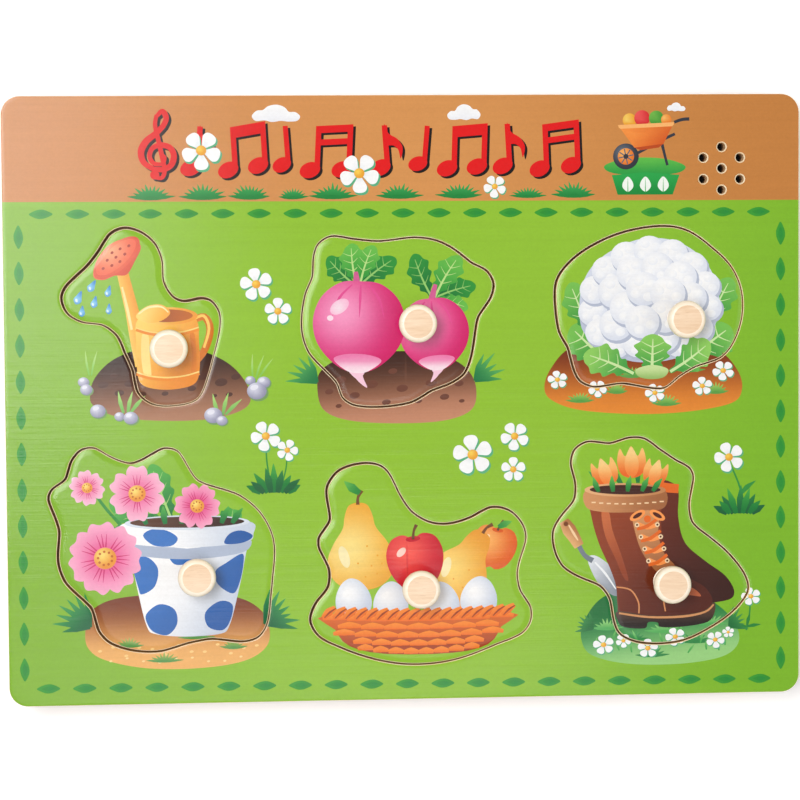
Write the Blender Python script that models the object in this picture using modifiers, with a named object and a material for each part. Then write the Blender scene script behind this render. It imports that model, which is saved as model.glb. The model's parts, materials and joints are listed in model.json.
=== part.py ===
# Wooden peg puzzle with sound: six lift-out pieces over light sensors, a speaker and a battery box.
# Metres, +Z up. The board lies flat, picture face up, with its base centre at the origin.

import math

import bmesh
import bpy
from mathutils import Vector

# Board, layer by layer from the table up
BOARD_WIDTH = 0.300
BOARD_HEIGHT = 0.228
CORNER_RADIUS = 0.007
BACK_THICKNESS = 0.003
CORE_THICKNESS = 0.011
FLOOR_THICKNESS = 0.003
PICTURE_THICKNESS = 0.005
GLUE_GAP = 0.0003
OVERRUN = 0.002

# Lift-out pieces, in rows of three, and their knobs
PIECES_IN_ROW = 3
CUT_CLEARANCE = 0.0007
PIECE_EDGE_RADIUS = 0.0006
KNOB_DIAMETER = 0.0142
KNOB_HEIGHT = 0.0125
KNOB_FACE_DIAMETER = 0.0104
KNOB_NECK_DIAMETER = 0.0094
KNOB_NECK_HEIGHT = 0.0040
KNOB_FOOT_DIAMETER = 0.0106
KNOB_FLARE_SHARE = 0.55
DOWEL_DIAMETER = 0.0060
DOWEL_LENGTH = 0.0034

WATERING_CAN_WIDTH = 0.0595
WATERING_CAN_HEIGHT = 0.0670
RADISH_WIDTH = 0.0730
RADISH_HEIGHT = 0.0650
CAULIFLOWER_WIDTH = 0.0725
CAULIFLOWER_HEIGHT = 0.0620
FLOWER_POT_WIDTH = 0.0850
FLOWER_POT_HEIGHT = 0.0775
FRUIT_BASKET_WIDTH = 0.0845
FRUIT_BASKET_HEIGHT = 0.0770
BOOT_WIDTH = 0.0755
BOOT_HEIGHT = 0.0795

# Speaker behind a ring of holes, as shares of the board from its centre
SPEAKER_PLACE_SHARES = (0.401, 0.377)
SPEAKER_DIAMETER = 0.0270
SPEAKER_MARGIN = 0.0010
SPEAKER_BASKET_DIAMETER = 0.0210
SPEAKER_BASKET_DEPTH = 0.0050
SPEAKER_WALL = 0.0006
SPEAKER_FLANGE = 0.0008
MAGNET_DIAMETER = 0.0150
MAGNET_THICKNESS = 0.0026
GASKET_THICKNESS = 0.0010
GASKET_WIDTH = 0.0022
CONE_THICKNESS = 0.0004
DUST_CAP_DIAMETER = 0.0080
DUST_CAP_RISE = 0.0012
SOUND_HOLE_DIAMETER = 0.0032
SOUND_HOLE_RING_RADIUS = 0.0081
SOUND_HOLES_IN_RING = 6

# Light sensors, one under each piece, in two rows of three
SENSOR_COLUMN_SHARES = (-0.280, 0.0135, 0.340)
SENSOR_ROW_SHARES = (0.110, -0.300)
SENSOR_WINDOW_DIAMETER = 0.0044
SENSOR_SINK = 0.0006
SENSOR_FLANGE_DIAMETER = 0.0064
SENSOR_FLANGE_THICKNESS = 0.0016
SENSOR_TAIL_DIAMETER = 0.0030
SENSOR_TAIL_LENGTH = 0.0014

# Leads in their channels
LEAD_DIAMETER = 0.0013
LEAD_PITCH = 0.0021
LEAD_BEND = 0.0030
LEAD_DROP = 0.0018
LEAD_RAMP = 0.0060
LEAD_LANES = 4
CHANNEL_WIDTH = 0.0120
MAIN_CHANNEL_PLACE_SHARE = 0.265
SIDE_CHANNEL_WIDTH = 0.0060
CHANNEL_END = 0.0030

# Circuit board, hung under the recess floor
CIRCUIT_PLACE_SHARES = (0.200, 0.373)
CIRCUIT_LENGTH = 0.0400
CIRCUIT_WIDTH = 0.0240
CIRCUIT_THICKNESS = 0.0016
CIRCUIT_MARGIN = 0.0020
CIRCUIT_CORNER_RADIUS = 0.0016
PAD_PITCH = 0.0040
PAD_REACH = 0.0030
CHIP_DIAMETER = 0.0100
CHIP_HEIGHT = 0.0014
CHIP_SIDE_SHARES = (0.92, 0.5)
CHIP_CROWN_SHARES = (0.6, 0.9)
CAPACITOR_DIAMETER = 0.0063
CAPACITOR_LENGTH = 0.0060
CAPACITOR_PLACE_SHARES = (0.24, 0.24)
CIRCUIT_SCREW_INSET = 0.0030

# Battery box: two AAA cells side by side, mouth down through the back panel
BATTERY_PLACE_SHARES = (-0.085, 0.386)
CELL_DIAMETER = 0.0105
CELL_LENGTH = 0.0445
CELL_NIPPLE_DIAMETER = 0.0038
CELL_NIPPLE_LENGTH = 0.0008
CELL_SPACE = 0.0010
CONTACT_THICKNESS = 0.0004
CONTACT_WIDTH = 0.0084
CONTACT_HEIGHT = 0.0080
SPRING_LENGTH = 0.0040
SPRING_DIAMETER = 0.0062
SPRING_WIRE = 0.0006
SPRING_TURNS = 3
BOX_WALL = 0.0015
BOX_END_BLOCK = 0.0070
BOX_FLANGE = 0.0030
BOX_FLANGE_THICKNESS = 0.0012
BOX_RIM_SINK = 0.0003
RIM_WALL = 0.0011
LID_THICKNESS = 0.0020
LID_CORNER_RADIUS = 0.0016
LID_GRIP_WIDTH = 0.0012
LID_GRIP_LENGTH = 0.0120
LID_GRIP_DEPTH = 0.0006
LID_GRIP_PITCH = 0.0026
LID_GRIPS = 4

# Screws: head, shank and how deep they reach
BACK_SCREW_HEAD_DIAMETER = 0.0058
BACK_SCREW_HEAD_HEIGHT = 0.0016
BACK_SCREW_SHANK_DIAMETER = 0.0028
BACK_SCREW_LENGTH = 0.0110
BACK_SCREW_SINK = 0.0003
BACK_SCREW_EDGE = 0.0120
LID_SCREW_HEAD_DIAMETER = 0.0046
LID_SCREW_HEAD_HEIGHT = 0.0010
LID_SCREW_SHANK_DIAMETER = 0.0022
LID_SCREW_LENGTH = 0.0090
CIRCUIT_SCREW_HEAD_DIAMETER = 0.0040
CIRCUIT_SCREW_HEAD_HEIGHT = 0.0011
CIRCUIT_SCREW_SHANK_DIAMETER = 0.0018
CIRCUIT_SCREW_LENGTH = 0.0050
HEAD_EDGE_SHARE = 0.2
RECESS_WIDTH_SHARE = 0.16
RECESS_SPAN_SHARE = 0.60
RECESS_DEPTH_SHARE = 0.55
RECESS_ANGLE = math.radians(36)

# How finely curves and turned shapes are cut
CORNER_STEPS = 9
OUTLINE_STEPS = 2
KNOB_SIDES = 20
SPEAKER_SIDES = 28
CELL_SIDES = 20
SMALL_SIDES = 10
RIM_STEPS = 3
EDGE_STEPS = 2
SPRING_STEPS = 8
MERGE_DISTANCE = 0.00001
FLAT_ANGLE = math.radians(1)
SHARP_ANGLE = math.radians(30)

# Heights that follow from the layers
BACK_TOP = BACK_THICKNESS
CORE_BASE = BACK_TOP + GLUE_GAP
CORE_TOP = CORE_BASE + CORE_THICKNESS
FLOOR_BASE = CORE_TOP + GLUE_GAP
FLOOR_TOP = FLOOR_BASE + FLOOR_THICKNESS
PICTURE_BASE = FLOOR_TOP + GLUE_GAP
PICTURE_TOP = PICTURE_BASE + PICTURE_THICKNESS
PIECE_BASE = FLOOR_TOP + GLUE_GAP
PIECE_TOP = PIECE_BASE + PICTURE_THICKNESS

# Each lift-out piece, row by row: name, width, height, then shares. The web at its left is a share
# of the width that its row's pieces leave free, and its rise a share of the board's height from the
# centre. The knob and the outline are shares of the piece's own width and height from its centre,
# and the seat is where the loose piece lies in its cut-out, in shares of the clearance.
PIECES = (
    {
        "name": "watering_can",
        "width": WATERING_CAN_WIDTH,
        "height": WATERING_CAN_HEIGHT,
        "web_share": 0.2205,
        "rise_share": 0.139,
        "knob_shares": (0.172, -0.169),
        "seat_shares": (0.40, -0.40),
        "outline_shares": (
            (-0.09, 0.505), (0.02, 0.475), (0.105, 0.405), (0.145, 0.305), (0.15, 0.205),
            (0.205, 0.12), (0.28, 0.095), (0.375, 0.11), (0.45, 0.09), (0.5, 0.015),
            (0.495, -0.09), (0.46, -0.215), (0.415, -0.355), (0.35, -0.465), (0.205, -0.5),
            (0.065, -0.49), (-0.03, -0.42), (-0.06, -0.3), (-0.11, -0.195), (-0.155, -0.105),
            (-0.245, -0.045), (-0.36, -0.03), (-0.46, 0.02), (-0.5, 0.11), (-0.46, 0.19),
            (-0.34, 0.29), (-0.26, 0.38), (-0.19, 0.47),
        ),
    },
    {
        "name": "radish",
        "width": RADISH_WIDTH,
        "height": RADISH_HEIGHT,
        "web_share": 0.3195,
        "rise_share": 0.128,
        "knob_shares": (0.092, -0.011),
        "seat_shares": (-0.25, 0.10),
        "outline_shares": (
            (-0.44, 0.36), (-0.415, 0.45), (-0.34, 0.5), (-0.235, 0.485), (-0.105, 0.47),
            (-0.005, 0.48), (0.095, 0.49), (0.205, 0.47), (0.3, 0.415), (0.385, 0.34),
            (0.46, 0.295), (0.5, 0.215), (0.48, 0.12), (0.42, 0.02), (0.4, -0.095),
            (0.38, -0.215), (0.34, -0.315), (0.255, -0.375), (0.17, -0.41), (0.065, -0.475),
            (-0.09, -0.5), (-0.225, -0.49), (-0.295, -0.44), (-0.325, -0.355), (-0.395, -0.27),
            (-0.465, -0.18), (-0.5, -0.065), (-0.5, 0.055), (-0.48, 0.17), (-0.445, 0.265),
        ),
    },
    {
        "name": "cauliflower",
        "width": CAULIFLOWER_WIDTH,
        "height": CAULIFLOWER_HEIGHT,
        "web_share": 0.2321,
        "rise_share": 0.148,
        "knob_shares": (0.174, -0.073),
        "seat_shares": (0.40, -0.10),
        "outline_shares": (
            (-0.495, 0.02), (-0.49, 0.155), (-0.44, 0.255), (-0.345, 0.35), (-0.215, 0.43),
            (-0.075, 0.48), (0.09, 0.5), (0.22, 0.465), (0.34, 0.365), (0.44, 0.25),
            (0.495, 0.105), (0.5, -0.06), (0.455, -0.22), (0.38, -0.32), (0.255, -0.37),
            (0.16, -0.435), (0.085, -0.5), (-0.015, -0.495), (-0.145, -0.47), (-0.275, -0.49),
            (-0.365, -0.45), (-0.405, -0.355), (-0.43, -0.245), (-0.475, -0.145),
        ),
    },
    {
        "name": "flower_pot",
        "width": FLOWER_POT_WIDTH,
        "height": FLOWER_POT_HEIGHT,
        "web_share": 0.2745,
        "rise_share": -0.244,
        "knob_shares": (0.15, -0.125),
        "seat_shares": (0.40, 0.10),
        "outline_shares": (
            (-0.5, 0.25), (-0.48, 0.305), (-0.425, 0.35), (-0.4, 0.43), (-0.355, 0.49),
            (-0.29, 0.5), (-0.225, 0.46), (-0.135, 0.425), (-0.055, 0.46), (0.01, 0.495),
            (0.075, 0.48), (0.115, 0.415), (0.16, 0.34), (0.235, 0.305), (0.34, 0.265),
            (0.43, 0.185), (0.485, 0.08), (0.5, -0.02), (0.49, -0.145), (0.48, -0.25),
            (0.465, -0.365), (0.42, -0.44), (0.335, -0.46), (0.22, -0.445), (0.105, -0.465),
            (-0.01, -0.5), (-0.13, -0.495), (-0.235, -0.455), (-0.29, -0.385), (-0.315, -0.29),
            (-0.37, -0.225), (-0.43, -0.155), (-0.46, -0.065), (-0.46, 0.015), (-0.455, 0.095),
            (-0.475, 0.17),
        ),
    },
    {
        "name": "fruit_basket",
        "width": FRUIT_BASKET_WIDTH,
        "height": FRUIT_BASKET_HEIGHT,
        "web_share": 0.2264,
        "rise_share": -0.273,
        "knob_shares": (-0.008, -0.113),
        "seat_shares": (0.35, -0.20),
        "outline_shares": (
            (-0.265, 0.5), (-0.18, 0.49), (-0.13, 0.44), (-0.09, 0.35), (-0.035, 0.26),
            (0.05, 0.205), (0.14, 0.2), (0.23, 0.23), (0.315, 0.275), (0.4, 0.26),
            (0.46, 0.195), (0.48, 0.115), (0.455, 0.02), (0.44, -0.06), (0.455, -0.145),
            (0.495, -0.215), (0.5, -0.29), (0.455, -0.36), (0.345, -0.41), (0.2, -0.47),
            (0.06, -0.5), (-0.09, -0.5), (-0.24, -0.465), (-0.37, -0.41), (-0.46, -0.355),
            (-0.5, -0.27), (-0.47, -0.18), (-0.42, -0.11), (-0.415, -0.02), (-0.455, 0.075),
            (-0.455, 0.14), (-0.41, 0.215), (-0.415, 0.29), (-0.42, 0.38), (-0.365, 0.465),
        ),
    },
    {
        "name": "boot",
        "width": BOOT_WIDTH,
        "height": BOOT_HEIGHT,
        "web_share": 0.1491,
        "rise_share": -0.242,
        "knob_shares": (0.083, -0.197),
        "seat_shares": (0.10, 0.0),
        "outline_shares": (
            (-0.41, 0.37), (-0.39, 0.445), (-0.315, 0.485), (-0.21, 0.475), (-0.115, 0.5),
            (-0.03, 0.495), (0.045, 0.445), (0.13, 0.39), (0.2, 0.35), (0.22, 0.29),
            (0.2, 0.185), (0.215, 0.09), (0.285, 0.03), (0.38, -0.045), (0.465, -0.14),
            (0.5, -0.22), (0.48, -0.285), (0.4, -0.365), (0.285, -0.435), (0.165, -0.485),
            (0.03, -0.5), (-0.09, -0.485), (-0.17, -0.44), (-0.2, -0.36), (-0.215, -0.28),
            (-0.265, -0.215), (-0.36, -0.175), (-0.45, -0.12), (-0.495, -0.035), (-0.5, 0.06),
            (-0.45, 0.14), (-0.395, 0.205), (-0.39, 0.29),
        ),
    },
)

# Base colour, roughness and metallic value of each finish
FINISHES = {
    "printed_board": ((0.28, 0.58, 0.06), 0.32, 0.0),
    "printed_piece": ((0.45, 0.66, 0.16), 0.32, 0.0),
    "birch": ((0.86, 0.66, 0.44), 0.45, 0.0),
    "plywood": ((0.62, 0.42, 0.24), 0.65, 0.0),
    "fibreboard": ((0.36, 0.23, 0.13), 0.80, 0.0),
    "black_plastic": ((0.03, 0.03, 0.03), 0.45, 0.0),
    "sensor_resin": ((0.70, 0.30, 0.14), 0.35, 0.0),
    "lead_jacket": ((0.55, 0.05, 0.04), 0.50, 0.0),
    "circuit_laminate": ((0.05, 0.25, 0.10), 0.50, 0.0),
    "steel": ((0.62, 0.61, 0.59), 0.35, 1.0),
    "speaker_paper": ((0.06, 0.06, 0.06), 0.90, 0.0),
    "foam": ((0.10, 0.10, 0.10), 0.95, 0.0),
    "cell_jacket": ((0.10, 0.16, 0.30), 0.35, 0.2),
}


def clear_scene():
    for old in list(bpy.data.objects):
        bpy.data.objects.remove(old, do_unlink=True)


def new_collection(name):
    collection = bpy.data.collections.new(name)
    bpy.context.scene.collection.children.link(collection)
    return collection


def new_material(name, colour, roughness, metallic):
    material = bpy.data.materials.new(name)
    material.use_nodes = True
    shader = material.node_tree.nodes["Principled BSDF"]
    shader.inputs["Base Color"].default_value = (*colour, 1.0)
    shader.inputs["Roughness"].default_value = roughness
    shader.inputs["Metallic"].default_value = metallic
    return material


clear_scene()
PARTS = new_collection("sound_puzzle")
CUTTERS = new_collection("cutters")
BOARD_FRAME = bpy.data.objects.new("board_frame", None)
PARTS.objects.link(BOARD_FRAME)


def add_part(name, data, finish, place=(0, 0, 0), parent=BOARD_FRAME):
    """Put one named sub-part in the model, at a place in the board's frame."""
    part = bpy.data.objects.new(name, data)
    PARTS.objects.link(part)
    part.parent = parent
    base = Vector((0, 0, 0)) if parent is BOARD_FRAME else parent.location
    part.location = Vector(place) - base
    part.data.materials.append(new_material(name, *FINISHES[finish]))
    return part


def add_cutter(name, data, place=(0, 0, 0)):
    cutter = bpy.data.objects.new(name, data)
    CUTTERS.objects.link(cutter)
    cutter.location = place
    cutter.hide_render = True
    cutter.display_type = "WIRE"
    return cutter


def cut(part, cutter, operation="DIFFERENCE"):
    boolean = part.modifiers.new(cutter.name, "BOOLEAN")
    boolean.operation = operation
    boolean.object = cutter
    boolean.solver = "EXACT"


def block_mesh(name, size):
    """A box centred on its own origin."""
    mesh = bpy.data.meshes.new(name)
    shape = bmesh.new()
    bmesh.ops.create_cube(shape, size=1.0)
    bmesh.ops.scale(shape, vec=size, verts=shape.verts)
    shape.to_mesh(mesh)
    shape.free()
    return mesh


def round_mesh(name, diameter, height, sides):
    """A cylinder along Z, centred on its own origin."""
    mesh = bpy.data.meshes.new(name)
    shape = bmesh.new()
    radius = diameter / 2
    bmesh.ops.create_cone(
        shape, cap_ends=True, segments=sides, radius1=radius, radius2=radius, depth=height
    )
    shape.to_mesh(mesh)
    shape.free()
    return mesh


def profile_mesh(name, profile, closed=False):
    """A turned shape's outline in its XZ plane, from the top down its outer side."""
    mesh = bpy.data.meshes.new(name)
    count = len(profile)
    edges = [(i, i + 1) for i in range(count - 1)]
    if closed:
        edges.append((count - 1, 0))
    mesh.from_pydata([(x, 0, z) for x, z in profile], edges, [])
    return mesh


def turn(part, sides):
    """Turn a profile about the part's own Z axis."""
    screw = part.modifiers.new("turn", "SCREW")
    screw.axis = "Z"
    screw.steps = sides
    screw.render_steps = sides
    screw.use_merge_vertices = True
    screw.merge_threshold = MERGE_DISTANCE
    screw.use_smooth_shade = True
    return screw


def flat_curve(name, loops, thickness):
    """A flat board with its holes: a filled 2D curve, extruded by half its thickness each way."""
    curve = bpy.data.curves.new(name, "CURVE")
    curve.dimensions = "2D"
    curve.fill_mode = "BOTH"
    curve.extrude = thickness / 2
    for loop in loops:
        spline = curve.splines.new("POLY")
        spline.points.add(len(loop) - 1)
        for point, (x, y) in zip(spline.points, loop):
            point.co = (x, y, 0, 1)
        spline.use_cyclic_u = True
    return curve


def curve_as_mesh(name, curve):
    """The curve's filled shape as one welded mesh, with flat faces joined up."""
    holder = bpy.data.objects.new(name, curve)
    bpy.context.scene.collection.objects.link(holder)
    bpy.context.view_layer.update()
    evaluated = holder.evaluated_get(bpy.context.evaluated_depsgraph_get())
    mesh = bpy.data.meshes.new_from_object(evaluated)
    mesh.name = name
    shape = bmesh.new()
    shape.from_mesh(mesh)
    bmesh.ops.remove_doubles(shape, verts=shape.verts, dist=MERGE_DISTANCE)
    bmesh.ops.dissolve_limit(
        shape, angle_limit=FLAT_ANGLE, verts=shape.verts, edges=shape.edges
    )
    shape.to_mesh(mesh)
    shape.free()
    bpy.data.objects.remove(holder, do_unlink=True)
    bpy.data.curves.remove(curve)
    return mesh


def tube_curve(name, route, diameter):
    """A lead or a wire along its route, with filled ends."""
    curve = bpy.data.curves.new(name, "CURVE")
    curve.dimensions = "3D"
    curve.bevel_depth = diameter / 2
    curve.bevel_resolution = 2
    curve.use_fill_caps = True
    spline = curve.splines.new("POLY")
    spline.points.add(len(route) - 1)
    for point, place in zip(spline.points, route):
        point.co = (*place, 1)
    return curve


def ring(centre, radius, sides):
    """Points round a circle in the board's plane."""
    steps = [math.tau * i / sides for i in range(sides)]
    return [(centre[0] + radius * math.cos(a), centre[1] + radius * math.sin(a)) for a in steps]


def rounded_rectangle(width, height, radius):
    corners = (
        (width / 2 - radius, height / 2 - radius, 0),
        (radius - width / 2, height / 2 - radius, 1),
        (radius - width / 2, radius - height / 2, 2),
        (width / 2 - radius, radius - height / 2, 3),
    )
    loop = []
    for x, y, quarter in corners:
        for step in range(CORNER_STEPS + 1):
            angle = math.pi / 2 * (quarter + step / CORNER_STEPS)
            loop.append((x + radius * math.cos(angle), y + radius * math.sin(angle)))
    return loop


def smooth_loop(points, steps):
    """A closed curve that runs smoothly through every point (Catmull-Rom)."""
    places = [Vector(point) for point in points]
    count = len(places)
    loop = []
    for i in range(count):
        before, start = places[i - 1], places[i]
        end, after = places[(i + 1) % count], places[(i + 2) % count]
        for step in range(steps):
            t = step / steps
            loop.append(
                0.5 * (
                    2 * start
                    + (end - before) * t
                    + (2 * before - 5 * start + 4 * end - after) * t ** 2
                    + (3 * start - before - 3 * end + after) * t ** 3
                )
            )
    return loop


def inset_loop(loop, distance):
    """The loop moved inwards by a distance; it runs clockwise seen from above."""
    count = len(loop)
    moved = []
    for i in range(count):
        along = (loop[(i + 1) % count] - loop[i - 1]).normalized()
        moved.append(loop[i] + Vector((along.y, -along.x)) * distance)
    return moved


def rounded_route(corners, bend):
    """A route through its corners, each rounded over the bend's length."""
    places = [Vector(corner) for corner in corners]
    route = [places[0]]
    for before, corner, after in zip(places, places[1:], places[2:]):
        start = corner + (before - corner).normalized() * bend
        end = corner + (after - corner).normalized() * bend
        for step in range(RIM_STEPS + 1):
            t = step / RIM_STEPS
            route.append(start * (1 - t) ** 2 + corner * 2 * t * (1 - t) + end * t ** 2)
    route.append(places[-1])
    return route


def quarter_arc(centre, radius, first_quarter, steps=RIM_STEPS):
    """Profile points round a quarter circle, clockwise from a quarter turn's start."""
    points = []
    for step in range(steps + 1):
        angle = math.pi / 2 * (first_quarter - step / steps)
        points.append(
            (centre[0] + radius * math.cos(angle), centre[1] + radius * math.sin(angle))
        )
    return points


def board_place(shares):
    return shares[0] * BOARD_WIDTH, shares[1] * BOARD_HEIGHT


def piece_place(piece):
    """The piece's centre: along its row over the webs and pieces at its left, and up by its rise."""
    number = PIECES.index(piece)
    first = number - number % PIECES_IN_ROW
    row = PIECES[first:first + PIECES_IN_ROW]
    free = BOARD_WIDTH - sum(other["width"] for other in row)
    passed = PIECES[first:number + 1]
    right_side = sum(other["web_share"] * free + other["width"] for other in passed)
    x = right_side - (BOARD_WIDTH + piece["width"]) / 2
    return Vector((x, piece["rise_share"] * BOARD_HEIGHT))


def cut_out_loop(piece):
    """The cut-out's outline on the board."""
    centre = piece_place(piece)
    points = [
        centre + Vector((x * piece["width"], y * piece["height"]))
        for x, y in piece["outline_shares"]
    ]
    return smooth_loop(points, OUTLINE_STEPS)


def knob_place(piece):
    centre = piece_place(piece)
    x, y = piece["knob_shares"]
    return centre + Vector((x * piece["width"], y * piece["height"]))


def sound_hole_places():
    centre = board_place(SPEAKER_PLACE_SHARES)
    half_steps = ring(centre, SOUND_HOLE_RING_RADIUS, 2 * SOUND_HOLES_IN_RING)
    return [centre] + half_steps[1::2]


def sensor_places():
    return [
        board_place((column, row)) for row in SENSOR_ROW_SHARES for column in SENSOR_COLUMN_SHARES
    ]


def circuit_screw_places():
    x, y = board_place(CIRCUIT_PLACE_SHARES)
    reach_x = CIRCUIT_LENGTH / 2 - CIRCUIT_SCREW_INSET
    reach_y = CIRCUIT_WIDTH / 2 - CIRCUIT_SCREW_INSET
    return [(x - reach_x, y + reach_y), (x + reach_x, y + reach_y)]


def back_screw_places():
    reach_x = BOARD_WIDTH / 2 - BACK_SCREW_EDGE
    reach_y = BOARD_HEIGHT / 2 - BACK_SCREW_EDGE
    corners = [(x, y) for y in (reach_y, -reach_y) for x in (-reach_x, reach_x)]
    return corners + [(-reach_x, 0), (reach_x, 0)]


# Battery box sizes that follow from the cells and their contacts
CELL_OFFSET = (CELL_DIAMETER + CELL_SPACE) / 2
CELL_BAY_WIDTH = 2 * CELL_DIAMETER + CELL_SPACE + 2 * GLUE_GAP
FLAT_END = 2 * GLUE_GAP + CONTACT_THICKNESS
SPRING_END = 3 * GLUE_GAP + CONTACT_THICKNESS + SPRING_LENGTH
CELL_BAY_LENGTH = CELL_LENGTH + FLAT_END + SPRING_END
BOX_LENGTH = CELL_BAY_LENGTH + 2 * BOX_END_BLOCK
BOX_WIDTH = CELL_BAY_WIDTH + 2 * BOX_WALL
LID_BASE = BOX_RIM_SINK
LID_TOP = LID_BASE + LID_THICKNESS
LID_SEAT = LID_TOP + GLUE_GAP
LID_LENGTH = BOX_LENGTH - 2 * RIM_WALL - 2 * GLUE_GAP
LID_WIDTH = BOX_WIDTH - 2 * RIM_WALL - 2 * GLUE_GAP
CELL_HEIGHT = LID_TOP + GLUE_GAP + CELL_DIAMETER / 2
CELL_BAY_TOP = CELL_HEIGHT + CELL_DIAMETER / 2 + GLUE_GAP
BOX_TOP = FLOOR_BASE - GLUE_GAP
LID_SCREW_REACH = (BOX_LENGTH - BOX_END_BLOCK) / 2
LEAD_HEIGHT = FLOOR_BASE - GLUE_GAP - CIRCUIT_THICKNESS - GLUE_GAP - LEAD_DIAMETER / 2


def screw_profile(sizes, countersunk, grow=0, foot=0):
    """A screw standing on its head, or the hole for one, from its tip down to its head."""
    head_diameter, head_height, shank_diameter, length = sizes
    head = head_diameter / 2 + grow
    shank = shank_diameter / 2 + grow
    tip = head_height + length + grow
    shoulder = tip - shank_diameter / 2
    seat = head_height + grow
    side = (head_height * HEAD_EDGE_SHARE if countersunk else head_height) + grow
    return [(0, tip), (shank, shoulder), (shank, seat), (head, side), (head, foot), (0, foot)]


def add_screw_recess(part, place, head_diameter, head_height):
    """Cut the cross recess into a screw's head, from below."""
    half_width = head_diameter * RECESS_WIDTH_SHARE / 2
    half_span = head_diameter * RECESS_SPAN_SHARE / 2
    depth = head_height * RECESS_DEPTH_SHARE
    arm = [(half_span, -half_width), (half_span, half_width), (half_width, half_width)]
    loop = []
    for quarter in range(4):
        angle = math.pi / 2 * quarter + RECESS_ANGLE
        turn_x, turn_y = math.cos(angle), math.sin(angle)
        loop += [(x * turn_x - y * turn_y, x * turn_y + y * turn_x) for x, y in arm]
    name = part.name + "_recess_cutter"
    mesh = curve_as_mesh(name, flat_curve(name, [loop], 2 * depth))
    cut(part, add_cutter(name, mesh, place))


def add_screw(name, place, sizes, countersunk=False, parent=BOARD_FRAME):
    profile = screw_profile(sizes, countersunk)
    screw = add_part(name, profile_mesh(name, profile), "steel", place, parent)
    turn(screw, SMALL_SIDES)
    add_screw_recess(screw, place, sizes[0], sizes[1])
    return screw


def screw_hole(name, place, sizes, countersunk=False):
    profile = screw_profile(sizes, countersunk, GLUE_GAP, -OVERRUN)
    cutter = add_cutter(name, profile_mesh(name, profile), place)
    turn(cutter, SMALL_SIDES)
    return cutter


BACK_SCREW = (
    BACK_SCREW_HEAD_DIAMETER, BACK_SCREW_HEAD_HEIGHT, BACK_SCREW_SHANK_DIAMETER, BACK_SCREW_LENGTH
)
LID_SCREW = (
    LID_SCREW_HEAD_DIAMETER, LID_SCREW_HEAD_HEIGHT, LID_SCREW_SHANK_DIAMETER, LID_SCREW_LENGTH
)
CIRCUIT_SCREW = (
    CIRCUIT_SCREW_HEAD_DIAMETER,
    CIRCUIT_SCREW_HEAD_HEIGHT,
    CIRCUIT_SCREW_SHANK_DIAMETER,
    CIRCUIT_SCREW_LENGTH,
)


def board_outline():
    return rounded_rectangle(BOARD_WIDTH, BOARD_HEIGHT, CORNER_RADIUS)


def build_picture_board():
    """The printed plywood face, with a cut-out for each piece and the speaker's holes."""
    loops = [board_outline()]
    loops += [cut_out_loop(piece) for piece in PIECES]
    loops += [ring(place, SOUND_HOLE_DIAMETER / 2, SMALL_SIDES) for place in sound_hole_places()]
    curve = flat_curve("picture_board", loops, PICTURE_THICKNESS)
    middle = (PICTURE_BASE + PICTURE_TOP) / 2
    add_part("picture_board", curve, "printed_board", (0, 0, middle))


def build_floor_panel():
    """The panel that makes the recess floors, with a window hole for each sensor."""
    window = SENSOR_WINDOW_DIAMETER / 2 + GLUE_GAP
    pilot = CIRCUIT_SCREW_SHANK_DIAMETER / 2 + GLUE_GAP
    loops = [board_outline()]
    loops += [ring(place, window, SMALL_SIDES) for place in sensor_places()]
    loops += [ring(place, SOUND_HOLE_DIAMETER / 2, SMALL_SIDES) for place in sound_hole_places()]
    loops += [ring(place, pilot, SMALL_SIDES) for place in circuit_screw_places()]
    curve = flat_curve("floor_panel", loops, FLOOR_THICKNESS)
    add_part("floor_panel", curve, "fibreboard", (0, 0, (FLOOR_BASE + FLOOR_TOP) / 2))


def core_cutter(name, low, high):
    """A box cutter through the core between two corners in the board's plane."""
    size = (high[0] - low[0], high[1] - low[1], CORE_THICKNESS + 2 * OVERRUN)
    centre = ((low[0] + high[0]) / 2, (low[1] + high[1]) / 2, (CORE_BASE + CORE_TOP) / 2)
    return add_cutter(name, block_mesh(name, size), centre)


def box_half_sizes():
    """Half length and half width of the bay that takes the battery box and its flange."""
    reach = BOX_FLANGE + GLUE_GAP
    return BOX_LENGTH / 2 + reach, BOX_WIDTH / 2 + reach


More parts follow.
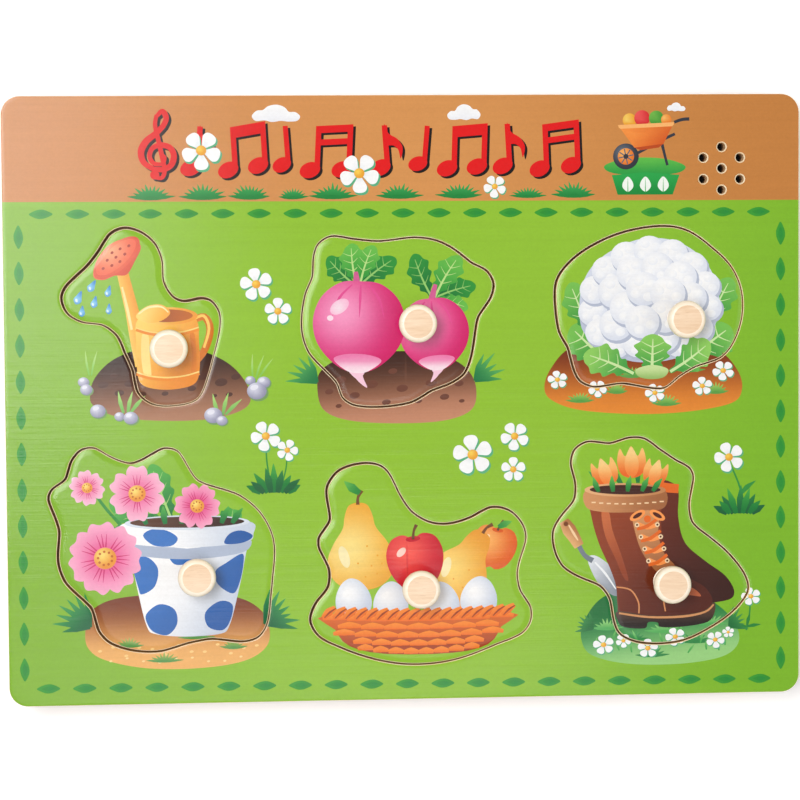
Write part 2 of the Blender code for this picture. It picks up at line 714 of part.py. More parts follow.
def build_core_frame():
    """The routed core: bays for speaker, circuit and batteries, and the lead channels."""
    outline = flat_curve("core_frame", [board_outline()], CORE_THICKNESS)
    mesh = curve_as_mesh("core_frame", outline)
    core = add_part("core_frame", mesh, "fibreboard", (0, 0, (CORE_BASE + CORE_TOP) / 2))

    speaker_x, speaker_y = board_place(SPEAKER_PLACE_SHARES)
    bay_diameter = SPEAKER_DIAMETER + 2 * SPEAKER_MARGIN
    depth = CORE_THICKNESS + 2 * OVERRUN
    middle = (CORE_BASE + CORE_TOP) / 2
    round_bay = round_mesh("speaker_bay_cutter", bay_diameter, depth, SPEAKER_SIDES)
    cut(core, add_cutter("speaker_bay_cutter", round_bay, (speaker_x, speaker_y, middle)))

    circuit_x, circuit_y = board_place(CIRCUIT_PLACE_SHARES)
    reach_x = CIRCUIT_LENGTH / 2 + CIRCUIT_MARGIN
    reach_y = CIRCUIT_WIDTH / 2 + CIRCUIT_MARGIN
    circuit_low = (circuit_x - reach_x, circuit_y - reach_y)
    circuit_high = (circuit_x + reach_x, circuit_y + reach_y)
    cut(core, core_cutter("circuit_bay_cutter", circuit_low, circuit_high))

    battery_x, battery_y = board_place(BATTERY_PLACE_SHARES)
    half_length, half_width = box_half_sizes()
    battery_low = (battery_x - half_length, battery_y - half_width)
    battery_high = (battery_x + half_length, battery_y + half_width)
    cut(core, core_cutter("battery_bay_cutter", battery_low, battery_high))

    side = SIDE_CHANNEL_WIDTH / 2
    low = (battery_x, circuit_y - side)
    cut(core, core_cutter("battery_channel_cutter", low, (circuit_x, circuit_y + side)))
    low = (circuit_x, circuit_y - side)
    cut(core, core_cutter("speaker_channel_cutter", low, (speaker_x, circuit_y + side)))

    main_y = MAIN_CHANNEL_PLACE_SHARE * BOARD_HEIGHT
    half = CHANNEL_WIDTH / 2
    columns = [share * BOARD_WIDTH for share in SENSOR_COLUMN_SHARES]
    low = (min(columns) - half, main_y - half)
    high = (max(columns) + half, main_y + half)
    cut(core, core_cutter("main_channel_cutter", low, high))
    pads_reach = len(PIECES) * PAD_PITCH / 2
    low = (circuit_x - pads_reach, main_y)
    cut(core, core_cutter("lead_mouth_cutter", low, (circuit_x + pads_reach, circuit_y)))
    lowest = min(SENSOR_ROW_SHARES) * BOARD_HEIGHT - SENSOR_FLANGE_DIAMETER / 2 - CHANNEL_END
    for number, x in enumerate(columns, 1):
        name = f"column_channel_{number}_cutter"
        cut(core, core_cutter(name, (x - half, lowest), (x + half, main_y)))
    return core


def build_back_panel():
    """The hardboard back, with the battery box's opening."""
    mesh = curve_as_mesh("back_panel", flat_curve("back_panel", [board_outline()], BACK_THICKNESS))
    back = add_part("back_panel", mesh, "fibreboard", (0, 0, BACK_THICKNESS / 2))
    size = (BOX_LENGTH + 2 * GLUE_GAP, BOX_WIDTH + 2 * GLUE_GAP, BACK_THICKNESS + 2 * OVERRUN)
    x, y = board_place(BATTERY_PLACE_SHARES)
    name = "battery_opening_cutter"
    cut(back, add_cutter(name, block_mesh(name, size), (x, y, BACK_THICKNESS / 2)))
    return back


def build_back_screws(back, core):
    for number, (x, y) in enumerate(back_screw_places(), 1):
        place = (x, y, BACK_SCREW_SINK)
        hole = screw_hole(f"back_screw_hole_{number}", place, BACK_SCREW, countersunk=True)
        cut(back, hole)
        cut(core, hole)
        add_screw(f"back_screw_{number}", place, BACK_SCREW, countersunk=True)


def knob_profile():
    """The turned knob, from its top down to the end of its dowel. Zero is the piece's face."""
    head, face = KNOB_DIAMETER / 2, KNOB_FACE_DIAMETER / 2
    neck, foot, dowel = KNOB_NECK_DIAMETER / 2, KNOB_FOOT_DIAMETER / 2, DOWEL_DIAMETER / 2
    rim = head - face
    rim_height = KNOB_HEIGHT - rim
    cup_height = rim_height - (head - neck)
    profile = [(0, KNOB_HEIGHT)]
    profile += quarter_arc((face, rim_height), rim, 1)
    profile += [(neck + (head - neck) * KNOB_FLARE_SHARE, (rim_height + cup_height) / 2)]
    profile += [(neck, KNOB_NECK_HEIGHT), (foot, GLUE_GAP), (dowel, GLUE_GAP)]
    profile += [(dowel, -DOWEL_LENGTH), (0, -DOWEL_LENGTH)]
    return profile


def build_piece(piece):
    """One printed lift-out piece, round-edged on top, with its knob glued in by a dowel."""
    name = "piece_" + piece["name"]
    seat_x, seat_y = piece["seat_shares"]
    shift = Vector((seat_x, seat_y)) * CUT_CLEARANCE
    origin = knob_place(piece) + shift
    loop = inset_loop(cut_out_loop(piece), CUT_CLEARANCE)
    loop = [point + shift - origin for point in loop]
    mesh = curve_as_mesh(name, flat_curve(name, [loop], PICTURE_THICKNESS))
    centre = (origin.x, origin.y, (PIECE_BASE + PIECE_TOP) / 2)
    part = add_part(name, mesh, "printed_piece", centre)

    weights = mesh.attributes.new("bevel_weight_edge", "FLOAT", "EDGE")
    rim = PICTURE_THICKNESS / 2 - GLUE_GAP
    for edge in mesh.edges:
        on_top = all(mesh.vertices[v].co.z > rim for v in edge.vertices)
        weights.data[edge.index].value = 1.0 if on_top else 0.0
    bevel = part.modifiers.new("round_edge", "BEVEL")
    bevel.limit_method = "WEIGHT"
    bevel.width = PIECE_EDGE_RADIUS
    bevel.segments = EDGE_STEPS

    hole_depth = DOWEL_LENGTH + GLUE_GAP
    hole_name = name + "_dowel_hole"
    hole_mesh = round_mesh(
        hole_name, DOWEL_DIAMETER + 2 * GLUE_GAP, hole_depth + OVERRUN, SMALL_SIDES
    )
    hole_middle = PIECE_TOP + (OVERRUN - hole_depth) / 2
    cut(part, add_cutter(hole_name, hole_mesh, (origin.x, origin.y, hole_middle)))

    knob_name = "knob_" + piece["name"]
    knob = add_part(
        knob_name, profile_mesh(knob_name, knob_profile()), "birch",
        (origin.x, origin.y, PIECE_TOP), part
    )
    turn(knob, KNOB_SIDES)


def build_sensor(name, place):
    """A light sensor, its window just under the recess floor."""
    window, flange = SENSOR_WINDOW_DIAMETER / 2, SENSOR_FLANGE_DIAMETER / 2
    tail = SENSOR_TAIL_DIAMETER / 2
    seat = FLOOR_BASE - GLUE_GAP
    flange_base = seat - SENSOR_FLANGE_THICKNESS
    tail_base = flange_base - SENSOR_TAIL_LENGTH
    top = FLOOR_TOP - SENSOR_SINK
    profile = [(0, top), (window, top), (window, seat), (flange, seat), (flange, flange_base)]
    profile += [(tail, flange_base), (tail, tail_base), (0, tail_base)]
    sensor = add_part(name, profile_mesh(name, profile), "sensor_resin", (*place, 0))
    turn(sensor, SMALL_SIDES)


def pad_x(number):
    """Where a lead ends along the circuit board's lower edge."""
    middle = (2 * len(SENSOR_COLUMN_SHARES) - 1) / 2
    return board_place(CIRCUIT_PLACE_SHARES)[0] + (number - middle) * PAD_PITCH


def build_sensor_leads():
    """One lead for each sensor, side by side in the channels and never crossing."""
    upper_y = SENSOR_ROW_SHARES[0] * BOARD_HEIGHT
    lower_y = SENSOR_ROW_SHARES[1] * BOARD_HEIGHT
    main_y = MAIN_CHANNEL_PLACE_SHARE * BOARD_HEIGHT
    start = SENSOR_TAIL_DIAMETER / 2 + GLUE_GAP
    pad_y = board_place(CIRCUIT_PLACE_SHARES)[1] - CIRCUIT_WIDTH / 2 + PAD_REACH
    height = LEAD_HEIGHT
    pass_by = SENSOR_FLANGE_DIAMETER / 2 + LEAD_DIAMETER / 2 + GLUE_GAP
    last = len(SENSOR_COLUMN_SHARES) - 1
    top_lane = main_y + (LEAD_LANES - 1) / 2 * LEAD_PITCH
    for column, share in enumerate(SENSOR_COLUMN_SHARES):
        x = share * BOARD_WIDTH
        side = 1 if column == last else -1
        outer_pad = 2 * column + 1 if column == last else 2 * column
        inner_pad = 2 * column if column == last else 2 * column + 1
        outer_lane = top_lane - 2 * (column % last) * LEAD_PITCH
        inner_lane = outer_lane - LEAD_PITCH
        upper_name = piece_name_at(column, 0)
        lower_name = piece_name_at(column, 1)
        outer_x = x + side * pass_by
        turn_y = lower_y + start + 2 * LEAD_BEND
        lower_route = [
            (x, lower_y + start, height),
            (x, turn_y, height),
            (outer_x, turn_y + 2 * LEAD_BEND, height),
            (outer_x, outer_lane, height),
            (pad_x(outer_pad), outer_lane, height),
            (pad_x(outer_pad), pad_y, height),
        ]
        upper_route = [
            (x, upper_y + start, height),
            (x, inner_lane, height),
            (pad_x(inner_pad), inner_lane, height),
            (pad_x(inner_pad), pad_y, height),
        ]
        for name, route in ((lower_name, lower_route), (upper_name, upper_route)):
            smooth = rounded_route(route, LEAD_BEND)
            lead_name = "sensor_lead_" + name
            add_part(lead_name, tube_curve(lead_name, smooth, LEAD_DIAMETER), "lead_jacket")


def piece_name_at(column, row):
    """The piece over the sensor in this column and row; PIECES runs row by row."""
    return PIECES[row * PIECES_IN_ROW + column]["name"]


def build_speaker():
    """Gasket, basket, cone and magnet, stacked down from the recess floor."""
    x, y = board_place(SPEAKER_PLACE_SHARES)
    outer = SPEAKER_DIAMETER / 2
    inner = outer - GASKET_WIDTH
    top = FLOOR_BASE - GLUE_GAP
    base = top - GASKET_THICKNESS
    profile = [(outer, top), (outer, base), (inner, base), (inner, top)]
    gasket = add_part(
        "speaker_gasket", profile_mesh("speaker_gasket", profile, closed=True), "foam", (x, y, 0)
    )
    turn(gasket, SPEAKER_SIDES)

    flange_top = base - GLUE_GAP
    flange_base = flange_top - SPEAKER_FLANGE
    cup_base = flange_base - SPEAKER_BASKET_DEPTH
    shoulder = SPEAKER_BASKET_DIAMETER / 2
    foot = MAGNET_DIAMETER / 2
    profile = [
        (0, cup_base + SPEAKER_WALL),
        (foot - SPEAKER_WALL, cup_base + SPEAKER_WALL),
        (shoulder, flange_base),
        (inner, flange_base),
        (inner, flange_top),
        (outer, flange_top),
        (outer, flange_base - SPEAKER_WALL),
        (shoulder + SPEAKER_WALL, flange_base - SPEAKER_WALL),
        (foot, cup_base),
        (0, cup_base),
    ]
    basket = add_part(
        "speaker_basket", profile_mesh("speaker_basket", profile), "steel", (x, y, 0)
    )
    turn(basket, SPEAKER_SIDES)

    cone_top = flange_top
    rim = inner - GLUE_GAP
    cap = DUST_CAP_DIAMETER / 2
    cone_low = flange_base
    cap_top = cone_low + CONE_THICKNESS + DUST_CAP_RISE
    profile = [
        (0, cap_top),
        (cap, cone_low + CONE_THICKNESS),
        (rim - SPEAKER_WALL, cone_top),
        (rim, cone_top),
        (rim, cone_top - CONE_THICKNESS),
        (rim - SPEAKER_WALL, cone_top - CONE_THICKNESS),
        (cap, cone_low),
        (0, cap_top - CONE_THICKNESS),
    ]
    cone = add_part(
        "speaker_cone", profile_mesh("speaker_cone", profile), "speaker_paper", (x, y, 0)
    )
    turn(cone, SPEAKER_SIDES)

    magnet_top = cup_base - GLUE_GAP
    magnet_base = magnet_top - MAGNET_THICKNESS
    magnet = add_part(
        "speaker_magnet",
        round_mesh("speaker_magnet", MAGNET_DIAMETER, MAGNET_THICKNESS, SPEAKER_SIDES),
        "steel",
        (x, y, (magnet_top + magnet_base) / 2),
    )
    magnet.data.shade_smooth()
    magnet.data.set_sharp_from_angle(angle=SHARP_ANGLE)

    circuit_x, circuit_y = board_place(CIRCUIT_PLACE_SHARES)
    start_x = circuit_x + CIRCUIT_LENGTH / 2 - PAD_REACH
    level_x = start_x + PAD_REACH + 2 * LEAD_BEND
    low = LEAD_HEIGHT - LEAD_DROP
    drop_y = circuit_y - y
    reach = math.sqrt((outer + GLUE_GAP) ** 2 - drop_y ** 2)
    route = [
        (start_x, circuit_y, LEAD_HEIGHT),
        (level_x, circuit_y, LEAD_HEIGHT),
        (level_x + LEAD_RAMP, circuit_y, low),
        (x - reach, circuit_y, low),
    ]
    lead = tube_curve("speaker_lead", rounded_route(route, LEAD_BEND), LEAD_DIAMETER)
    add_part("speaker_lead", lead, "lead_jacket")


def build_circuit():
    """The circuit board with its sound chip and capacitor, hung on two screws."""
    x, y = board_place(CIRCUIT_PLACE_SHARES)
    top = FLOOR_BASE - GLUE_GAP
    base = top - CIRCUIT_THICKNESS
    loops = [
        [
            (px + x, py + y)
            for px, py in rounded_rectangle(
                CIRCUIT_LENGTH, CIRCUIT_WIDTH, CIRCUIT_CORNER_RADIUS
            )
        ]
    ]
    hole = CIRCUIT_SCREW_SHANK_DIAMETER / 2 + GLUE_GAP
    loops += [ring(place, hole, SMALL_SIDES) for place in circuit_screw_places()]
    curve = flat_curve("circuit_board", loops, CIRCUIT_THICKNESS)
    add_part("circuit_board", curve, "circuit_laminate", (0, 0, (top + base) / 2))

    seat = base - GLUE_GAP
    radius = CHIP_DIAMETER / 2
    profile = [(0, seat), (radius, seat)]
    for reach, drop in (CHIP_SIDE_SHARES, CHIP_CROWN_SHARES):
        profile.append((reach * radius, seat - drop * CHIP_HEIGHT))
    profile.append((0, seat - CHIP_HEIGHT))
    chip = add_part("sound_chip", profile_mesh("sound_chip", profile), "black_plastic", (x, y, 0))
    turn(chip, CELL_SIDES)

    share_x, share_y = CAPACITOR_PLACE_SHARES
    can = round_mesh("capacitor", CAPACITOR_DIAMETER, CAPACITOR_LENGTH, CELL_SIDES)
    place = (x + share_x * CIRCUIT_LENGTH, y + share_y * CIRCUIT_WIDTH, seat - CAPACITOR_LENGTH / 2)
    capacitor = add_part("capacitor", can, "steel", place)
    capacitor.data.shade_smooth()
    capacitor.data.set_sharp_from_angle(angle=SHARP_ANGLE)

    for number, (screw_x, screw_y) in enumerate(circuit_screw_places(), 1):
        head_base = seat - CIRCUIT_SCREW_HEAD_HEIGHT
        add_screw(f"circuit_screw_{number}", (screw_x, screw_y, head_base), CIRCUIT_SCREW)


def build_battery_box():
    """The moulded box: cell bay, rebate for the lid, flange and two screw blocks."""
    x, y = board_place(BATTERY_PLACE_SHARES)
    height = BOX_TOP - BOX_RIM_SINK
    box = add_part(
        "battery_box",
        block_mesh("battery_box", (BOX_LENGTH, BOX_WIDTH, height)),
        "black_plastic",
        (x, y, BOX_RIM_SINK + height / 2),
    )
    flange_size = (
        BOX_LENGTH + 2 * BOX_FLANGE, BOX_WIDTH + 2 * BOX_FLANGE, BOX_FLANGE_THICKNESS
    )
    name = "battery_box_flange"
    flange_place = (x, y, CORE_BASE + BOX_FLANGE_THICKNESS / 2)
    cut(box, add_cutter(name, block_mesh(name, flange_size), flange_place), "UNION")
    bay_height = CELL_BAY_TOP - LID_SEAT + OVERRUN
    name = "cell_bay_cutter"
    bay = block_mesh(name, (CELL_BAY_LENGTH, CELL_BAY_WIDTH, bay_height))
    cut(box, add_cutter(name, bay, (x, y, CELL_BAY_TOP - bay_height / 2)))
    rebate_height = LID_SEAT - BOX_RIM_SINK + OVERRUN
    name = "lid_rebate_cutter"
    rebate = block_mesh(
        name, (LID_LENGTH + 2 * GLUE_GAP, LID_WIDTH + 2 * GLUE_GAP, rebate_height)
    )
    cut(box, add_cutter(name, rebate, (x, y, LID_SEAT - rebate_height / 2)))
    for number, side in enumerate((-1, 1), 1):
        place = (x + side * LID_SCREW_REACH, y, LID_BASE)
        cut(box, screw_hole(f"box_screw_hole_{number}", place, LID_SCREW))


def build_battery_lid():
    """The flush lid with four grip grooves, held by two screws that stay in it."""
    x, y = board_place(BATTERY_PLACE_SHARES)
    outline = rounded_rectangle(LID_LENGTH, LID_WIDTH, LID_CORNER_RADIUS)
    mesh = curve_as_mesh("battery_lid", flat_curve("battery_lid", [outline], LID_THICKNESS))
    lid = add_part("battery_lid", mesh, "black_plastic", (x, y, LID_BASE + LID_THICKNESS / 2))
    for number in range(LID_GRIPS):
        name = f"lid_grip_{number + 1}_cutter"
        size = (LID_GRIP_WIDTH, LID_GRIP_LENGTH, 2 * LID_GRIP_DEPTH)
        groove_x = x + (number - (LID_GRIPS - 1) / 2) * LID_GRIP_PITCH
        cut(lid, add_cutter(name, block_mesh(name, size), (groove_x, y, LID_BASE)))
    for number, side in enumerate((-1, 1), 1):
        place = (x + side * LID_SCREW_REACH, y, LID_BASE)
        cut(lid, screw_hole(f"lid_screw_hole_{number}", place, LID_SCREW))
        add_screw(f"lid_screw_{number}", place, LID_SCREW, parent=lid)


def build_cells():
    """Two cells lying head to tail between their contacts."""
    x, y = board_place(BATTERY_PLACE_SHARES)
    radius, nipple = CELL_DIAMETER / 2, CELL_NIPPLE_DIAMETER / 2
    half = CELL_LENGTH / 2
    shoulder = half - CELL_NIPPLE_LENGTH
    profile = [(0, half), (nipple, half), (nipple, shoulder), (radius, shoulder)]
    profile += [(radius, -half), (0, -half)]
    slide = (SPRING_END - FLAT_END) / 2
    for number, side in enumerate((1, -1), 1):
        name = f"cell_{number}"
        place = (x + side * slide, y + side * CELL_OFFSET, CELL_HEIGHT)
        cell = add_part(name, profile_mesh(name, profile), "cell_jacket", place)
        cell.rotation_euler = (0, side * math.pi / 2, 0)
        turn(cell, CELL_SIDES)


def build_contacts():
    """A bridge plate at one end, two end plates at the other, and a spring for each cell."""
    x, y = board_place(BATTERY_PLACE_SHARES)
    plate_x = CELL_BAY_LENGTH / 2 - GLUE_GAP - CONTACT_THICKNESS / 2
    bridge_size = (CONTACT_THICKNESS, 2 * CELL_OFFSET + CONTACT_WIDTH, CONTACT_HEIGHT)
    add_part(
        "contact_bridge",
        block_mesh("contact_bridge", bridge_size),
        "steel",
        (x - plate_x, y, CELL_HEIGHT),
    )
    end_size = (CONTACT_THICKNESS, CONTACT_WIDTH, CONTACT_HEIGHT)
    for name, side in (("contact_plus", 1), ("contact_minus", -1)):
        place = (x + plate_x, y + side * CELL_OFFSET, CELL_HEIGHT)
        add_part(name, block_mesh(name, end_size), "steel", place)

    spring_x = CELL_BAY_LENGTH / 2 - 2 * GLUE_GAP - CONTACT_THICKNESS - SPRING_WIRE / 2
    radius = (SPRING_DIAMETER - SPRING_WIRE) / 2
    rise = SPRING_LENGTH - SPRING_WIRE
    for number, side in enumerate((-1, 1), 1):
        route = []
        for step in range(SPRING_TURNS * SPRING_STEPS + 1):
            share = step / (SPRING_TURNS * SPRING_STEPS)
            angle = math.tau * SPRING_TURNS * share
            route.append(
                (
                    x + side * (spring_x - rise * share),
                    y - side * CELL_OFFSET + radius * math.cos(angle),
                    CELL_HEIGHT + radius * math.sin(angle),
                )
            )
        name = f"contact_spring_{number}"
        curve = tube_curve(name, route, SPRING_WIRE)
        curve.bevel_resolution = 1
        add_part(name, curve, "steel")


def build_battery_lead():
    """The lead from the battery box to the circuit board."""
    battery_x = board_place(BATTERY_PLACE_SHARES)[0]
    circuit_x, circuit_y = board_place(CIRCUIT_PLACE_SHARES)
    start_x = battery_x + BOX_LENGTH / 2 + GLUE_GAP
    end_x = circuit_x - CIRCUIT_LENGTH / 2 + PAD_REACH
    level_x = end_x - PAD_REACH - 2 * LEAD_BEND
    low = LEAD_HEIGHT - LEAD_DROP
    route = [
        (start_x, circuit_y, low),
        (level_x - LEAD_RAMP, circuit_y, low),
        (level_x, circuit_y, LEAD_HEIGHT),
        (end_x, circuit_y, LEAD_HEIGHT),
    ]
    lead = tube_curve("battery_lead", rounded_route(route, LEAD_BEND), LEAD_DIAMETER)
    add_part("battery_lead", lead, "lead_jacket")


build_picture_board()
build_floor_panel()
CORE = build_core_frame()
BACK = build_back_panel()
build_back_screws(BACK, CORE)
for one_piece in PIECES:
    build_piece(one_piece)
for one_piece, sensor_place in zip(PIECES, sensor_places()):
    build_sensor("light_sensor_" + one_piece["name"], sensor_place)
build_sensor_leads()
build_speaker()
build_circuit()
build_battery_box()
build_battery_lid()
build_cells()
build_contacts()
build_battery_lead()
bpy.context.view_layer.update()
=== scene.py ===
import json
import math
import random

import bpy
import numpy as np
from mathutils import Matrix, Vector
from mathutils.geometry import delaunay_2d_cdt

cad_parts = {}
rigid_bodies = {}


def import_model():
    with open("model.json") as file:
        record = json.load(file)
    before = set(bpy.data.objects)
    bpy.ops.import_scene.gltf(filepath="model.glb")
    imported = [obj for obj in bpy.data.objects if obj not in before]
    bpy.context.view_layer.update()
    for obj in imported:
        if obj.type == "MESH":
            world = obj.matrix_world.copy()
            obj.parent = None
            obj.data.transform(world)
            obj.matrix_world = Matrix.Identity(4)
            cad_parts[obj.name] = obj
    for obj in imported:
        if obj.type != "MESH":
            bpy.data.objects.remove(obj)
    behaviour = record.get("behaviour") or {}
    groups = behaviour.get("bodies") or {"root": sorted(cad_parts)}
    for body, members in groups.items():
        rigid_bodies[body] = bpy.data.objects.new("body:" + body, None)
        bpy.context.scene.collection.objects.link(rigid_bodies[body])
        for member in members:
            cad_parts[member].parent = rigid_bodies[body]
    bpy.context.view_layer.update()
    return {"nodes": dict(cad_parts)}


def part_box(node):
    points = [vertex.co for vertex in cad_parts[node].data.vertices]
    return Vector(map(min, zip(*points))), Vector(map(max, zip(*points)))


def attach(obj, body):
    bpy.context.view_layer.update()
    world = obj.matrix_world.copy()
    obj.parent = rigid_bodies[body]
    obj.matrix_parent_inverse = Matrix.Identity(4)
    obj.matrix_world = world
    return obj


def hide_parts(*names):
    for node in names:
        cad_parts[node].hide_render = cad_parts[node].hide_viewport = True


for leftover in list(bpy.data.objects):
    bpy.data.objects.remove(leftover)

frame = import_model()
nodes = frame["nodes"]
mm = 0.001
boardLow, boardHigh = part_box("picture_board")
names = ("watering_can", "radish", "cauliflower", "flower_pot", "fruit_basket", "boot")
print("frame loaded:", len(nodes), "nodes")


# The camera, from where it hangs over the board and how it is tilted
camera = {
    "lens": 119.45,  # mm, on a sensor as wide as the frame
    "sensor": 36.0,
    "place": (-74.9, 51.6, 995.9),  # mm, from the middle of the picture
    "tilt": (2.99, 4.16, 0.66),  # degrees about X, Y and Z
}


def setCamera():
    data = bpy.data.cameras.new("camera")
    data.lens = camera["lens"]
    data.sensor_width = camera["sensor"]
    data.clip_start, data.clip_end = 0.05, 20
    seat = bpy.data.objects.new("camera", data)
    turn = Matrix.Identity(3)
    for angle, axis in zip(camera["tilt"], "XYZ"):
        turn = turn @ Matrix.Rotation(-math.radians(angle), 3, axis)
    place = Vector(camera["place"]) * mm + Vector((0, 0, boardHigh.z))
    seat.matrix_world = Matrix.Translation(place) @ turn.to_4x4()
    bpy.context.scene.collection.objects.link(seat)
    bpy.context.scene.camera = seat


setCamera()


def unit(turn):  # cosine and sine of a turn in degrees
    angle = math.radians(turn)
    return math.cos(angle), math.sin(angle)


# The print is a stack of flat shapes in millimetres on the board; a later shape covers an earlier one.
art = []


def flat(colour):
    return {"near": colour, "far": colour, "start": (0, 0), "end": (1, 0), "round": False}


def fade(near, far, start, end):  # straight blend from one point to another
    return {"near": near, "far": far, "start": start, "end": end, "round": False}


def glow(near, far, centre, reach):  # round blend out from a centre
    return {"near": near, "far": far, "start": centre, "end": (centre[0] + reach, centre[1]), "round": True}


def lay(points, paint):
    if isinstance(paint, tuple):
        paint = flat(paint)
    art.append({"points": points, "paint": paint})


def between(a, b, c, d, steps):  # points on a smooth run from b to c, led by a and d at its ends
    line = []
    for step in range(steps):
        t = step / steps
        line.append(tuple(
            0.5 * (2 * b[k] + (c[k] - a[k]) * t + (2 * a[k] - 5 * b[k] + 4 * c[k] - d[k]) * t * t
                   + (3 * b[k] - a[k] - 3 * c[k] + d[k]) * t ** 3)
            for k in (0, 1)
        ))
    return line


def curvy(points, steps=5):  # closed smooth line through the points
    count, line = len(points), []
    for i in range(count):
        line += between(points[i - 1], points[i], points[(i + 1) % count], points[(i + 2) % count], steps)
    return line


def openLine(points, steps):  # open smooth line through the points
    padded = [points[0]] + list(points) + [points[-1]]
    line = []
    for i in range(len(padded) - 3):
        line += between(*padded[i:i + 4], steps)
    return line + [tuple(points[-1])]


def oval(x, y, reachX, reachY=None, turn=0, sides=28):
    reachY = reachX if reachY is None else reachY
    c, s = unit(turn)
    line = []
    for i in range(sides):
        angle = math.tau * i / sides
        px, py = reachX * math.cos(angle), reachY * math.sin(angle)
        line.append((x + px * c - py * s, y + px * s + py * c))
    return line


def band(points, widths, steps=4):  # a line with a width that runs from the first value to the last
    line = openLine(points, steps)
    left, right = [], []
    last = len(line) - 1
    for i, (x, y) in enumerate(line):
        ax, ay = line[max(i - 1, 0)]
        bx, by = line[min(i + 1, last)]
        length = math.hypot(bx - ax, by - ay) or 1
        nx, ny = (ay - by) / length, (bx - ax) / length
        place = i / last * (len(widths) - 1)
        k = min(int(place), len(widths) - 2)
        half = (widths[k] + (widths[k + 1] - widths[k]) * (place - k)) / 2
        left.append((x + nx * half, y + ny * half))
        right.append((x - nx * half, y - ny * half))
    return left + right[::-1]


def bothSides(half):  # an outline from its middle line round one side and back round the other
    return half + [(-x, y) for x, y in half[-2:0:-1]]


def form(points, paint, steps=5):
    lay(curvy(points, steps), paint)


def strip(points, widths, paint, steps=4):
    lay(band(points, widths, steps), paint)


def put(points, x, y, size=1, turn=0):
    c, s = unit(turn)
    return [(x + (px * c - py * s) * size, y + (px * s + py * c) * size) for px, py in points]


def press(points, seat, paint):  # a shape at a seat: place, size and turn
    lay(put(points, *seat), paint)


def blade(x, y, length, width, turn, bend=0):  # one leaf of grass from its root, turn is from straight up
    line = [(0, 0), (bend * length * 0.25, length * 0.5), (bend * length, length)]
    return put(band(line, (width * 0.55, width, 0.05), 4), x, y, 1, -turn)


def sideGrass(x, y, height, width, turns, drift, seed, near, far, fadeTo, bend):
    # blades that lean out from one end of a mound; drift is how far their lengths wander
    for place, side, start in zip(x, (-1, 1), seed):
        pick = random.Random(start)
        for turn in turns:
            lay(blade(place, y, height + pick.uniform(*drift), width, side * turn, bend * side),
                fade(near, far, (place, fadeTo[0]), (place + fadeTo[1] * side, fadeTo[2])))


def tuft(x, y, width, height, colours, seed, count=11):
    pick = random.Random(seed)
    half = count // 2
    for i in sorted(range(count), key=lambda n: -abs(n - half)):
        share = (i - half) / half
        tall = (1 - 0.66 * abs(share) ** 1.9) * height
        wide = share * width / 2
        reach = math.hypot(wide, tall) * pick.uniform(0.86, 1.08)
        turn = math.degrees(math.atan2(wide, tall))
        paint = fade(colours[1], colours[0], (x, y), (x, y + height * 0.9))
        root = (x + share * width * 0.12, y + height * 0.04)
        lay(blade(*root, reach, height * 0.25, turn, 0.12 * share), paint)
    form([(x - width * 0.22, y + height * 0.04), (x - width * 0.1, y + height * 0.22),
        (x, y + height * 0.26), (x + width * 0.1, y + height * 0.22), (x + width * 0.22, y + height * 0.04),
        (x, y - height * 0.03)], colours[1], 3)


daisyLook = {"petal": bothSides([(0, 0.12), (-0.22, 0.4), (-0.37, 0.7), (-0.27, 0.94), (0, 1.01)]),
    "petals": 5, "white": (255, 255, 255), "shade": (222, 232, 240), "shadow": (92, 178, 132),
    "heart": (255, 216, 92), "heartEdge": (240, 166, 50)}


def daisy(x, y, radius, turn=0, squeeze=1):
    look = daisyLook
    petal = curvy(look["petal"], 4)
    turns = [turn + 360 / look["petals"] * i for i in range(look["petals"])]
    for one in turns:
        lay([(x + 0.07 * radius + px, y - 0.1 * radius + py * squeeze)
             for px, py in put(petal, 0, 0, radius * 1.02, one)], look["shadow"])
    for one in turns:
        shape = [(x + px, y + py * squeeze) for px, py in put(petal, 0, 0, radius, one)]
        lay(shape, glow(look["shade"], look["white"], (x, y), radius * 0.55))
    lay(oval(x, y, radius * 0.27, radius * 0.26 * squeeze),
        glow(look["heart"], look["heartEdge"], (x - radius * 0.08, y + radius * 0.08), radius * 0.32))


def stone(x, y, radius, squash=0.86):
    lay(oval(x + 0.15 * radius, y - 0.2 * radius, radius * 1.05, radius * squash, 0, 18), (120, 158, 96))
    lay(oval(x, y, radius, radius * squash, 0, 20),
        glow((226, 226, 240), (148, 148, 176), (x - 0.3 * radius, y + 0.38 * radius), radius * 1.35))
    lay(oval(x - 0.25 * radius, y + 0.36 * radius, radius * 0.42, radius * 0.26, 15, 12), (236, 236, 247))


def cloud(x, y, width, height, flip=1):
    shape = [(-0.5, -0.1), (-0.4, 0.18), (-0.27, 0.22), (-0.16, 0.42), (0.02, 0.5), (0.18, 0.36),
        (0.27, 0.12), (0.4, 0.1), (0.5, -0.12), (0.44, -0.36), (0.26, -0.4), (0.1, -0.36),
        (-0.08, -0.42), (-0.24, -0.33), (-0.42, -0.36)]
    line = curvy([(x + px * width * flip, y + py * height) for px, py in shape], 5)
    lay(line, fade((255, 255, 255), (238, 240, 248), (x, y), (x, y - height * 0.6)))


def speckle(spots, paint):
    for x, y, radius in spots:
        lay(oval(x, y, radius, radius * 0.62, 8, 14), paint)


fieldLook = {
    "green": (148, 197, 50), "greenLeft": (136, 186, 52), "greenRight": (128, 187, 38),
    "brown": (218, 150, 84), "brownLeft": (208, 140, 84), "brownRight": (200, 130, 62),
    "leftEdge": 74.8, "rightEdge": 73.9, "over": 2,
}


